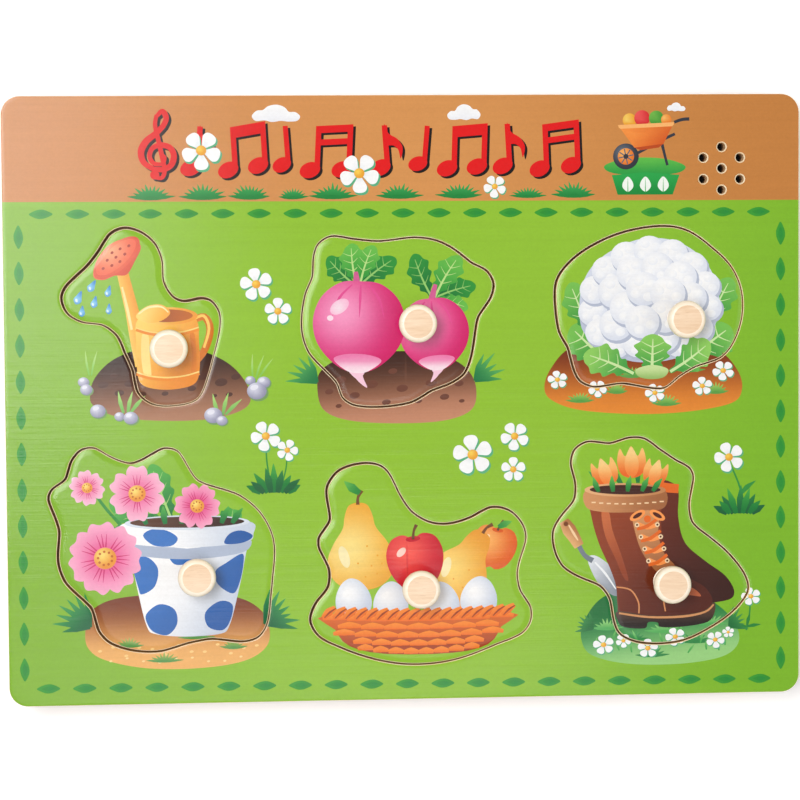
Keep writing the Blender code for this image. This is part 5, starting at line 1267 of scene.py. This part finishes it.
def buildVeneers():  # light and dark sheets of plywood, seen from the side
    tree, given, out = newGroup("veneerStack", (("Sheet", "Float", 0.0012),), ("Sheets", "Glue"))
    height = addNode(tree, "SeparateXYZ", {0: given["Vector"]}).outputs[2]
    lifted = maths(tree, "MULTIPLY_ADD", noise(tree, given["Vector"], 60.0, 1.0), 0.0005, height)
    wave = maths(tree, "PINGPONG", maths(tree, "DIVIDE", lifted, given["Sheet"]), 1.0)
    feed(tree, out, {"Sheets": ranged(tree, wave, 0.42, 0.58, interpolation_type="SMOOTHSTEP"),
                     "Glue": maths(tree, "COMPARE", wave, 0.5, 0.07)})
    return tree


def buildGrit():  # the fine even skin of moulded, coated or pressed surfaces
    tree, given, out = newGroup("fineGrit", (("Size", "Float", 0.0004),), ("Height", "Patches"))
    scale = maths(tree, "DIVIDE", 1.0, given["Size"])
    feed(tree, out, {"Height": noise(tree, given["Vector"], scale, 2.0, 0.6),
                     "Patches": noise(tree, given["Vector"], 90.0, 3.0)})
    return tree


def buildRubbed():  # where hands and the table rub: broken patches that a look can lighten or polish
    tree, given, out = newGroup("rubbedPatches", (("Spread", "Float", 0.5),), ("Mask",))
    least = maths(tree, "SUBTRACT", 0.78, given["Spread"])
    broad = noise(tree, given["Vector"], 55.0, 4.0, 0.7)
    feed(tree, out, {"Mask": ranged(tree, broad, least, maths(tree, "ADD", least, 0.22))})
    return tree


fibre, veneers, grit, rubbed = buildFibre(), buildVeneers(), buildGrit(), buildRubbed()


def placeGroup(tree, group, place, **inputs):  # its outputs, by name
    made = tree.nodes.new("ShaderNodeGroup")
    made.node_tree = group
    feed(tree, made, {"Vector": place, **inputs})
    return {socket.name: socket for socket in made.outputs}


def blendColours(tree, share, first, second, mode="MIX"):
    made = addNode(tree, "Mix", {"Factor": share}, data_type="RGBA", blend_type=mode)
    for index, value in ((6, first), (7, second)):
        plain = isinstance(value, tuple)
        feed(tree, made, {index: (*linear(value), 1) if plain else value})
    return made.outputs[2]


def raised(tree, shader, height, strength, distance, under=None):
    bump = addNode(tree, "Bump", {"Height": height, "Strength": strength, "Distance": distance})
    if under:
        feed(tree, bump, {"Normal": under})
    feed(tree, shader, {"Normal": bump.outputs[0]})
    return bump.outputs[0]


def newLook(name, values):  # a material whose one shader takes its plain values here
    material = bpy.data.materials.new(name)
    material.use_nodes = True
    tree = material.node_tree
    shader = tree.nodes["Principled BSDF"]
    feed(tree, shader, values)
    return material, tree, shader, addNode(tree, "TexCoord").outputs["Object"]


def makeLook(name, look, extra=None):
    # a material from its settings: "by" blends light into dark, "over" lays tints on that by other masks,
    # "gloss" is the mask and range of its roughness, "relief" a mask with strength and depth in metres
    material, tree, shader, place = newLook(name, look.get("shader", {}))
    masks = extra(tree, shader, place) if extra else {}
    if "size" in look:
        masks.update(placeGroup(tree, grit, place, Size=look["size"]))
    if "run" in look:
        masks.update(placeGroup(tree, fibre, place, Run=look["run"], Contrast=look["contrast"]))
    if "spread" in look:
        masks.update(placeGroup(tree, rubbed, place, Spread=look["spread"]))
    colour = blendColours(tree, masks[look["by"]], look["light"], look["dark"])
    for mask, share, tint in look.get("over", ()):
        colour = blendColours(tree, spreadRange(tree, masks[mask], 0.0, share), colour, look[tint])
    feed(tree, shader, {"Base Color": colour})
    if "gloss" in look:
        mask, low, high = look["gloss"]
        feed(tree, shader, {"Roughness": spreadRange(tree, masks[mask], low, high)})
    mask, strength, depth = look["relief"]
    raised(tree, shader, masks[mask], strength, depth)
    return material


printLook = {
    "roughness": (0.09, 0.13), "specular": 0.24, "run": (26, 1500, 1500), "size": 0.0009,
    "grainDepth": 0.00012,
    "gritShare": 0.6, "grainStrength": 0.22, "swell": 0.00004, "swellScale": 36.0,
    # share and tint of the streaks, the soft patches and the fine specks
    "Fibre": (0.09, (190, 180, 170)), "Patches": (0.08, (176, 168, 160)), "Height": (0.22, (170, 166, 162)),
}


def lookOfPrint():  # paper laminated on plywood: its grain shows through the gloss as fine streaks
    look = printLook
    material, tree, shader, place = newLook("printedPaper", {"Specular IOR Level": look["specular"]})
    colour = addNode(tree, "Attribute", attribute_name="printColour").outputs["Color"]
    masks = placeGroup(tree, fibre, place, Run=look["run"], Contrast=1.0)
    masks.update(placeGroup(tree, grit, place, Size=look["size"]))
    for mask in ("Fibre", "Patches", "Height"):
        share, tint = look[mask]
        colour = blendColours(tree, spreadRange(tree, masks[mask], 0.0, share), colour, tint, "MULTIPLY")
    feed(tree, shader, {"Base Color": colour, "Roughness": spreadRange(tree, masks["Patches"],
        *look["roughness"])})
    height = maths(tree, "MULTIPLY_ADD", masks["Height"], look["gritShare"], masks["Fibre"])
    swell = raised(tree, shader, noise(tree, place, look["swellScale"]), 1.0, look["swell"])
    raised(tree, shader, height, look["grainStrength"], look["grainDepth"], swell)
    return material


def family(shared, members):  # looks that share most of their settings
    return {name: {**shared, **own} for name, own in members.items()}


plainLooks = {
    # sanded veneer left bare at the rim of the print
    "bareBevel": {"light": (255, 240, 210), "dark": (238, 206, 160), "by": "Fibre",
                  "shader": {"Roughness": 0.6}, "run": (220, 1400, 1400), "contrast": 0.8,
                  "relief": ("Fibre", 0.3, 0.00008)},
    # the unprinted underside of a lift-out piece
    "rawPlywood": {"light": (226, 190, 142), "dark": (196, 152, 104), "pore": (132, 88, 54), "by": "Fibre",
                   "run": (34, 720, 720), "contrast": 1.3, "over": (("Pores", 0.5, "pore"),),
                   "gloss": ("Cloud", 0.55, 0.75), "relief": ("Fibre", 0.5, 0.00015)},
    # nickel plate with fine turning marks and dull handled patches
    "nickelledSteel": {"light": (214, 212, 206), "dark": (158, 156, 150), "by": "Fibre",
                       "shader": {"Metallic": 1.0}, "size": 0.0005, "run": (300, 300, 5200), "contrast": 0.8,
                       "spread": 0.2, "over": (("Mask", 0.4, "dark"),), "gloss": ("Patches", 0.2, 0.38),
                       "relief": ("Fibre", 0.2, 0.00003)},
    "woodGlue": {"light": (196, 150, 92), "dark": (142, 98, 54), "by": "Height", "shader": {"Roughness": 0.5},
                 "size": 0.001, "relief": ("Height", 0.5, 0.0001)},
    # birch with its grain across the knob, sanded flat on the face and turned smooth round it; the ring is a
    # lighter copy of the face's birch, painted highlight for the light that its turned slope catches
    **family({"shader": {"Specular IOR Level": 0.3, "Coat Weight": 0.4, "Coat Roughness": 0.22},
              "by": "Fibre", "run": (130, 1100, 700), "contrast": 0.9, "over": (("Pores", 0.35, "pore"),),
              "relief": ("Fibre", 0.25, 0.00008)}, {
        "birchFace": {"light": (247, 220, 190), "dark": (230, 194, 156), "pore": (196, 150, 108),
                      "gloss": ("Cloud", 0.5, 0.65)},
        # painted highlight: the ring's paler birch stands in for the light on its slope
        "birchRingPaintedHighlight": {"light": (255, 245, 226), "dark": (254, 232, 204), "pore": (226, 186, 142),
                      "gloss": ("Cloud", 0.34, 0.46)},
    }),
    # board of pressed fibres: fine flecks, with paler rubbed patches
    **family({"by": "Height", "run": (420, 640, 900), "contrast": 1.0, "spread": 0.2,
              "over": (("Pores", 0.6, "fleck"), ("Mask", 0.16, "fleck")),
              "relief": ("Height", 0.35, 0.00012)}, {
        "recessFloor": {"light": (150, 112, 78), "dark": (112, 78, 50), "fleck": (190, 150, 108),
                        "size": 0.0011, "gloss": ("Patches", 0.55, 0.75)},
        "routedCore": {"light": (206, 172, 126), "dark": (176, 138, 94), "fleck": (228, 200, 160),
                       "size": 0.0008, "gloss": ("Patches", 0.7, 0.85)},
        "hardboardBack": {"light": (128, 88, 58), "dark": (92, 58, 36), "fleck": (164, 122, 84),
                          "size": 0.0016, "gloss": ("Patches", 0.38, 0.55)},
    }),
    # plastics, paper and foam
    **family({"by": "Patches", "spread": 0.22, "over": (("Mask", 0.25, "light"),)}, {
        "blackMoulding": {"light": (46, 46, 48), "dark": (28, 28, 30), "size": 0.00045,
                          "gloss": ("Patches", 0.42, 0.58), "relief": ("Height", 0.4, 0.00006)},
        "speakerPaper": {"light": (44, 43, 42), "dark": (24, 24, 24), "size": 0.0007,
                         "gloss": ("Patches", 0.75, 0.9), "relief": ("Height", 0.4, 0.00012)},
        "gasketFoam": {"light": (52, 52, 54), "dark": (20, 20, 22), "size": 0.0005,
                       "gloss": ("Patches", 0.85, 0.95), "relief": ("Height", 0.4, 0.0002)},
        "leadJacket": {"light": (196, 40, 36), "dark": (160, 24, 26), "size": 0.0012,
                       "gloss": ("Patches", 0.35, 0.5), "relief": ("Height", 0.4, 0.00003)},
        "sensorResin": {"light": (216, 150, 108), "dark": (176, 104, 70), "size": 0.0006,
                        "shader": {"Coat Weight": 0.6, "Coat Roughness": 0.1},
                        "gloss": ("Patches", 0.12, 0.22), "relief": ("Height", 0.4, 0.00002)},
    }),
}

# plywood cut across its sheets; the sawn inner edges are scorched brown
sideLooks = family({"by": "Sheets", "run": (500, 500, 2600), "contrast": 1.0,
    "relief": ("Fibre", 0.45, 0.00015), "sheet": 0.00125,
    "over": (("Glue", 1.0, "glue"), ("Fibre", 0.4, "dark"))},
    {"plywoodSide": {"light": (248, 224, 188), "dark": (216, 178, 132), "glue": (132, 88, 52),
    "shader": {"Roughness": 0.62}}, "scorchedSide": {"light": (234, 192, 118), "dark": (192, 146, 82),
    "glue": (106, 72, 34), "shader": {"Roughness": 0.7}}})
circuitLook = {
    "light": (22, 92, 48), "dark": (48, 132, 70), "by": "Tracks", "pitch": 420.0, "size": 0.0008,
    "shader": {"Coat Weight": 0.4, "Coat Roughness": 0.15}, "over": (("Patches", 0.3, "light"),),
    "gloss": ("Patches", 0.28, 0.42), "relief": ("Tracks", 0.3, 0.00005),
}
cellLook = {"light": (198, 128, 62), "dark": (26, 42, 84), "soot": (12, 18, 36), "by": "Sleeve",
    "bandShare": 0.26, "shader": {"Coat Weight": 0.5, "Coat Roughness": 0.08}, "size": 0.0006,
    "over": (("Patches", 0.12, "soot"),), "gloss": ("Patches", 0.22, 0.36),
    "relief": ("Height", 0.15, 0.00002)}


def stackedSheets(tree, shader, place):
    return placeGroup(tree, veneers, place, Sheet=sideLooks["plywoodSide"]["sheet"])


def copperTracks(tree, shader, place):  # paler tracks under the green mask of a laminate
    black, white = (0, 0, 0, 1), (1, 1, 1, 1)
    tracks = addNode(tree, "TexBrick", {"Vector": place, "Scale": circuitLook["pitch"], "Mortar Size": 0.1,
        "Color1": black, "Color2": black, "Mortar": white}, squash=0.6, offset=0.3)
    return {"Tracks": tracks.outputs[0]}


def lookOfCell(name, plusEnd, minusEnd):  # a plain sleeve with one copper-coloured band at the plus end
    def sleeve(tree, shader, place):
        along = addNode(tree, "SeparateXYZ", {0: place}).outputs[0]
        share = ranged(tree, along, plusEnd, minusEnd)
        edge = ranged(tree, share, cellLook["bandShare"], cellLook["bandShare"] + 0.01)
        feed(tree, shader, {"Metallic": spreadRange(tree, edge, 0.9, 0.25)})
        return {"Sleeve": edge}

    return makeLook(name, cellLook, sleeve)


looks = {"printedPaper": lookOfPrint(), "greenLaminate": makeLook("greenLaminate", circuitLook, copperTracks)}
for lookName, settings in plainLooks.items():
    looks[lookName] = makeLook(lookName, settings)
for lookName, settings in sideLooks.items():
    looks[lookName] = makeLook(lookName, settings, stackedSheets)
print("looks made:", len(looks))


# Makers of meshes, working in mm
sharpFrom = math.radians(32)


def newPiece(name, vertices, faces, look):
    mesh = bpy.data.meshes.new(name)
    mesh.from_pydata([tuple(value * mm for value in vertex) for vertex in vertices], [], faces)
    mesh.materials.append(look)
    mesh.shade_smooth()
    mesh.set_sharp_from_angle(angle=sharpFrom)
    made = bpy.data.objects.new(name, mesh)
    bpy.context.scene.collection.objects.link(made)
    return made


# the profile runs down its outer side from pole to pole
def turned(name, profile, place, look, sides=64, axis="Z"):
    vertices, faces, rings = [], [], []
    for reach, height in profile:
        first = len(vertices)
        if reach < 1e-6:
            vertices.append((0, 0, height))
            rings.append([first] * sides)
            continue
        for i in range(sides):
            angle = math.tau * i / sides
            vertices.append((reach * math.cos(angle), reach * math.sin(angle), height))
        rings.append(list(range(first, first + sides)))
    for upper, lower in zip(rings, rings[1:]):
        for i in range(sides):
            k = (i + 1) % sides
            face = [upper[i], lower[i], lower[k], upper[k]]
            faces.append([spot for n, spot in enumerate(face) if spot != face[n - 1]])
    if axis == "X":
        vertices = [(z, x, y) for x, y, z in vertices]
    vertices = [tuple(value + place[k] for k, value in enumerate(vertex)) for vertex in vertices]
    return newPiece(name, vertices, faces, look)


def arc(middle, radius, start, end, steps):  # profile points round part of a circle, by angles in degrees
    points = []
    for step in range(steps + 1):
        angle = math.radians(start + (end - start) * step / steps)
        points.append((middle[0] + radius * math.cos(angle), middle[1] + radius * math.sin(angle)))
    return points


def wire(name, route, radius, look, sides=12):  # a round wire along a route of points
    points = [Vector(point) for point in route]
    last = len(points) - 1
    vertices, faces = [], []
    side = (points[1] - points[0]).orthogonal().normalized()
    for i, point in enumerate(points):
        along = (points[min(i + 1, last)] - points[max(i - 1, 0)]).normalized()
        side = (side - along * side.dot(along)).normalized()
        up = along.cross(side)
        for k in range(sides):
            angle = math.tau * k / sides
            vertices.append(tuple(point + (side * math.cos(angle) + up * math.sin(angle)) * radius))
    for i in range(last):
        for k in range(sides):
            n = (k + 1) % sides
            faces.append([i * sides + k, i * sides + n, (i + 1) * sides + n, (i + 1) * sides + k])
    faces.append(list(range(sides))[::-1])
    faces.append([last * sides + k for k in range(sides)])
    return newPiece(name, vertices, faces, look)


def boxOf(node):  # a solid's middle and size in mm
    low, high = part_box(node)
    return tuple((low + high) / 2 / mm), tuple((high - low) / mm)


def standsFor(made, node, body):
    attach(made, body)
    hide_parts(node)
    return made


# The print on the board and the six lift-out pieces
makePrint([looks[name] for name in ("printedPaper", "bareBevel", "plywoodSide", "rawPlywood",
    "scorchedSide")])

# Turned knobs
knobLook = {"faceShare": 0.735, "neckShare": 0.66, "footShare": 0.745, "neckRise": 4.0, "dowel": 3.0,
    "dowelDepth": 3.4, "crown": 0.12, "step": 0.05, "sides": 96}


def makeKnob(name):
    node = "knob_" + name
    look = knobLook
    middle, size = boxOf(node)
    head, height = size[0] / 2, size[2] - look["dowelDepth"]
    face, neck, foot = head * look["faceShare"], head * look["neckShare"], head * look["footShare"]
    rim = head - face
    crown = look["crown"]
    profile = [(0, height), (face * 0.5, height - crown * 0.12), (face * 0.82, height - crown * 0.5)]
    profile += arc((face, height - rim - look["step"]), rim, 94, 0, 12)
    low = height - rim - look["step"]
    flare = head - neck
    profile += arc((head - flare * 0.5, low - flare * 0.35), flare * 0.5, 0, -60, 5)
    profile += [(neck + 0.35, look["neckRise"] + 1.2), (neck, look["neckRise"]),
        (neck + 0.06, look["neckRise"] - 1.4)]
    profile += arc((foot + 0.5, 1.3), foot + 0.5 - neck - 0.2, 190, 262, 6)
    profile += [(foot, 0.3), (look["dowel"], 0.3), (look["dowel"], -look["dowelDepth"] + 0.4),
                (look["dowel"] - 0.4, -look["dowelDepth"]), (0, -look["dowelDepth"])]
    top = middle[2] + size[2] / 2
    made = turned(name + "_knob", profile, (middle[0], middle[1], top - height), looks["birchFace"],
        look["sides"])
    # the turned ring round the face takes the paler birch, a painted highlight
    made.data.materials.append(looks["birchRingPaintedHighlight"])
    for face in made.data.polygons:
        x, y, z = (value / mm - offset for value, offset in zip(face.center, middle))
        face.material_index = 0 if z > 0 and math.hypot(x, y) < head * look["faceShare"] else 1
    standsFor(made, node, name)


for one in names:
    makeKnob(one)
print("knobs turned")

# Screws standing on their heads, each with a cross recess
screwLook = {
    "back": {"head": 5.8, "rise": 1.6, "shank": 2.8, "pitch": 1.1, "sunk": True, "dish": 0.0},
    "lid": {"head": 4.6, "rise": 1.0, "shank": 2.2, "pitch": 0.9, "sunk": False, "dish": 0.3},
    "circuit": {"head": 4.0, "rise": 1.1, "shank": 1.8, "pitch": 0.8, "sunk": False, "dish": 0.3},
}
crossLook = {"widthShare": 0.15, "spanShare": 0.60, "depthShare": 0.62, "turn": 36}


def crossRecess(name, head, depth):  # the tapered cross that is cut out of a head
    half, reach = head * crossLook["widthShare"] / 2, head * crossLook["spanShare"] / 2
    vertices = []
    for level, taper in ((-0.3, 1.08), (depth, 0.55)):
        for quarter in range(4):
            c, s = unit(90 * quarter + crossLook["turn"])
            for x, y in ((reach * taper, -half), (reach * taper, half), (half, half)):
                vertices.append((x * c - y * s, x * s + y * c, level))
    count = len(vertices) // 2
    faces = [[i, (i + 1) % count, count + (i + 1) % count, count + i] for i in range(count)]
    faces += [list(range(count))[::-1], list(range(count, 2 * count))]
    return newPiece(name, vertices, faces, looks["nickelledSteel"])


def makeScrew(node, kind, body):
    look = screwLook[kind]
    middle, size = boxOf(node)
    head, shank, length = look["head"] / 2, look["shank"] / 2, size[2]
    profile = [(0, length), (shank * 0.35, length - shank * 0.8)]
    height = length - shank * 1.6
    while height > look["rise"] + look["pitch"] * 1.4:
        profile += [(shank, height), (shank * 0.8, height - look["pitch"] * 0.5)]
        height -= look["pitch"]
    profile += [(shank * 0.9, height), (shank * 0.9, look["rise"] + 0.15)]
    if look["sunk"]:
        profile += [(head * 0.98, 0.32), (head, 0.22), (head, 0.1), (head * 0.985, 0.02), (head * 0.9, 0.0)]
    else:
        profile += [(head * 0.97, look["rise"]), (head, look["rise"] - 0.1), (head, 0.45),
            (head * 0.9, 0.15), (head * 0.72, 0.0)]
    profile += [(0, 0.0)]
    place = (middle[0], middle[1], middle[2] - size[2] / 2)
    made = turned(node + "_turned", profile, place, looks["nickelledSteel"], 40)
    cutter = crossRecess("recess", look["head"], look["rise"] * crossLook["depthShare"])
    cutter.location = Vector(place) * mm
    boolean = made.modifiers.new("recess", "BOOLEAN")
    boolean.object = cutter
    bpy.context.view_layer.update()
    evaluated = made.evaluated_get(bpy.context.evaluated_depsgraph_get())
    mesh = bpy.data.meshes.new_from_object(evaluated)
    made.modifiers.clear()
    made.data = mesh
    mesh.set_sharp_from_angle(angle=sharpFrom)
    bpy.data.objects.remove(cutter)
    standsFor(made, node, body)


for number in range(1, 7):
    makeScrew(f"back_screw_{number}", "back", "board")
for number in (1, 2):
    makeScrew(f"lid_screw_{number}", "lid", f"screw_{number}")
    makeScrew(f"circuit_screw_{number}", "circuit", "board")
print("screws cut")

# Two AAA cells with their springs
cellShape = {"nipple": 1.9, "rise": 0.8, "bead": 0.5}


def makeCell(node, toRight):
    look = cellShape
    middle, size = boxOf(node)
    radius, length = size[1] / 2, size[0]
    profile = [(0, length), (look["nipple"] * 0.8, length)]
    profile += arc((look["nipple"] - 0.3, length - 0.3), 0.3, 90, 0, 4)
    base = length - look["rise"]
    profile += [(look["nipple"], base + 0.12), (look["nipple"] + 0.3, base), (radius * 0.8, base)]
    profile += arc((radius - look["bead"], base - look["bead"]), look["bead"], 80, 0, 5)
    profile += [(radius, base - 1.4), (radius - 0.12, base - 1.7), (radius, base - 2.0), (radius, 1.0)]
    profile += arc((radius - look["bead"], look["bead"]), look["bead"], 0, -80, 5)
    profile += [(radius * 0.75, 0.12), (radius * 0.7, 0.0), (0, 0.0)]
    start = middle[0] - length / 2
    if not toRight:
        profile = [(reach, length - height) for reach, height in profile[::-1]]
    ends = (start + length, start) if toRight else (start, start + length)
    look = lookOfCell(node + "_sleeve", ends[0] * mm, ends[1] * mm)
    made = turned(node + "_turned", profile, (start, middle[1], middle[2]), look, 56, "X")
    standsFor(made, node, "board")


makeCell("cell_1", True)
makeCell("cell_2", False)


def makeSpring(node, turns=3.5, wide=0.3):
    middle, size = boxOf(node)
    radius, length = size[1] / 2 - wide, size[0] - 2 * wide
    route = []
    for step in range(int(turns * 24) + 1):
        t = step / (turns * 24)
        angle = math.tau * turns * t
        route.append((middle[0] - length / 2 + length * t, middle[1] + radius * math.cos(angle),
            middle[2] + radius * math.sin(angle)))
    made = wire(node + "_coil", route, wide, looks["nickelledSteel"])
    standsFor(made, node, "board")


makeSpring("contact_spring_1")
makeSpring("contact_spring_2")

# The other solids, welded, rounded at their edges and given their finish
finishes = {}
for look, slot, members in (
    ("recessFloor", "fibreboard", {"floor_panel": 0.15}),
    ("routedCore", "fibreboard", {"core_frame": 0.2}),
    ("hardboardBack", "fibreboard", {"back_panel": 0.35}),
    ("blackMoulding", "black_plastic", {"battery_box": 0.25, "battery_lid": 0.25, "sound_chip": 0.1}),
    ("greenLaminate", "circuit_laminate", {"circuit_board": 0.1}),
    ("gasketFoam", "foam", {"speaker_gasket": 0.15}),
    ("speakerPaper", "speaker_paper", {"speaker_cone": 0.0}),
    ("nickelledSteel", "steel", {"capacitor": 0.2, "speaker_basket": 0.0, "speaker_magnet": 0.3,
                                 "contact_bridge": 0.08, "contact_plus": 0.08, "contact_minus": 0.08}),
    ("leadJacket", "lead_jacket", dict.fromkeys(["battery_lead", "speaker_lead"], 0.0)),
    ("leadJacket", "lead_jacket", {"sensor_lead_" + name: 0.0 for name in names}),
    ("sensorResin", "sensor_resin", {"light_sensor_" + name: 0.2 for name in names}),
):
    for node, rounding in members.items():
        finishes[node] = (look, slot, rounding)


def dress(node, look, rounding):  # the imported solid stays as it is; only modifiers and a finish go on it
    solid = nodes[node]
    solid.data.materials.clear()
    solid.data.materials.append(looks[look])
    weld = solid.modifiers.new("weld", "WELD")
    weld.merge_threshold = 0.00001
    if rounding:
        bevel = solid.modifiers.new("rounding", "BEVEL")
        bevel.width = rounding * mm
        bevel.segments = 2
        bevel.limit_method = "ANGLE"
        bevel.angle_limit = math.radians(40)
        bevel.harden_normals = False


for node, (look, slot, rounding) in finishes.items():
    dress(node, look, rounding)
print("solids dressed:", len(finishes))

# The thin glue lines that stand in the gaps between the layers
glueLines = (("back_panel", "core_frame"), ("core_frame", "floor_panel"))
glueShape = {"inset": 0.25, "corner": 6.75, "width": 2.0}


def makeGlueLine(lower, upper):
    low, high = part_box(lower)
    base, top = high.z / mm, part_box(upper)[0].z / mm
    inset = glueShape["inset"]
    outer = roundedBox((low.x / mm + inset, low.y / mm + inset), (high.x / mm - inset, high.y / mm - inset),
                       glueShape["corner"])
    inner = shifted(outer, -glueShape["width"])
    vertices, faces, count = [], [], len(outer)
    for loop, height in ((outer, base), (outer, top), (inner, top), (inner, base)):
        vertices += [(x, y, height) for x, y in loop]
    for ring in range(4):
        for i in range(count):
            k, n = (i + 1) % count, (ring + 1) % 4
            faces.append([ring * count + i, ring * count + k, n * count + k, n * count + i])
    made = newPiece(f"glue_line_{upper}", vertices, faces, looks["woodGlue"])
    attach(made, "board")


for lower, upper in glueLines:
    makeGlueLine(lower, upper)

# Floor, light and air
studio = {
    "floorSize": 3.0, "floorLift": 0.2, "fadeFrom": 0.22, "fadeTo": 0.7, "nearest": 0.004, "world": 0.25,
    "lamps": (
        # place in metres, width and depth, watts, tint
        ((-0.242, 0.30, 1.52), (0.176, 0.89), 3.49, (1.0, 0.99, 0.98)),
        ((-0.540, 0.30, 1.52), (0.420, 0.89), 16.0, (1.0, 0.99, 0.98)),
        ((-0.113, 0.13, 1.52), (0.073, 0.55), 0.42, (1.0, 1.0, 1.0)),
        ((0.01, -0.43, 1.52), (0.62, 0.36), 2.1, (1.0, 1.0, 1.0)),
        ((0.90, -0.10, 0.85), (0.7, 0.7), 2.8, (1.0, 0.98, 0.96)),
        ((-0.45, -0.35, -1.1), (0.8, 0.8), 11.0, (1.0, 1.0, 1.0)),
    ),
}


def seenPlainly(tree):  # 1 where a ray of the camera, of a gloss or through glass arrives
    path = addNode(tree, "LightPath").outputs
    seen = maths(tree, "MAXIMUM", path["Is Camera Ray"], path["Is Transmission Ray"])
    return maths(tree, "MAXIMUM", seen, path["Is Glossy Ray"])


def stageFloor():  # takes shadows near the object, is white further off, and lets light through from below
    half = studio["floorSize"] / 2 / mm
    material, tree, shader, place = newLook("paleFloor", {"Roughness": 0.9, "Emission Color": (1, 1, 1, 1)})
    floor = newPiece("floor", [(-half, -half, 0), (half, -half, 0), (half, half, 0), (-half, half, 0)],
                     [[0, 1, 2, 3]], material)
    floor.location.z = -0.0002
    away = addNode(tree, "VectorMath", {0: place}, operation="LENGTH").outputs["Value"]
    lift = addNode(tree, "MapRange", {"Value": away, "From Min": studio["fadeFrom"],
        "From Max": studio["fadeTo"], "To Min": studio["floorLift"], "To Max": 1.0}).outputs[0]
    feed(tree, shader, {
        "Base Color": blendColours(tree, noise(tree, place, 3.0), (252, 252, 252), (255, 255, 255)),
        "Emission Strength": maths(tree, "MULTIPLY", seenPlainly(tree), lift),
    })
    path = addNode(tree, "LightPath").outputs
    under = addNode(tree, "NewGeometry").outputs["Backfacing"]
    for other in (path["Is Shadow Ray"], maths(tree, "LESS_THAN", path["Ray Length"], studio["nearest"])):
        under = maths(tree, "MAXIMUM", under, other)
    clear = addNode(tree, "BsdfTransparent").outputs[0]
    mix = addNode(tree, "MixShader", {0: under, 1: shader.outputs[0], 2: clear})
    feed(tree, tree.nodes["Material Output"], {0: mix.outputs[0]})


def stageLight():
    world = bpy.data.worlds.new("air")
    bpy.context.scene.world = world
    world.use_nodes = True
    tree = world.node_tree
    tree.nodes.clear()
    strength = spreadRange(tree, seenPlainly(tree), studio["world"], 1.0)
    air = addNode(tree, "Background", {"Color": (1, 1, 1, 1), "Strength": strength})
    addNode(tree, "OutputWorld", {0: air.outputs[0]})
    for number, (place, (width, depth), watts, tint) in enumerate(studio["lamps"]):
        lamp = bpy.data.lights.new(f"lamp_{number}", "AREA")
        lamp.shape = "RECTANGLE"
        lamp.size, lamp.size_y = width, depth
        lamp.energy = watts
        lamp.color = tint
        seat = bpy.data.objects.new(f"lamp_{number}", lamp)
        seat.location = place
        seat.rotation_euler.x = 0 if place[2] > 0 else math.pi
        bpy.context.scene.collection.objects.link(seat)


stageFloor()
stageLight()
bpy.context.scene.view_settings.view_transform = "Standard"
print("stage set")
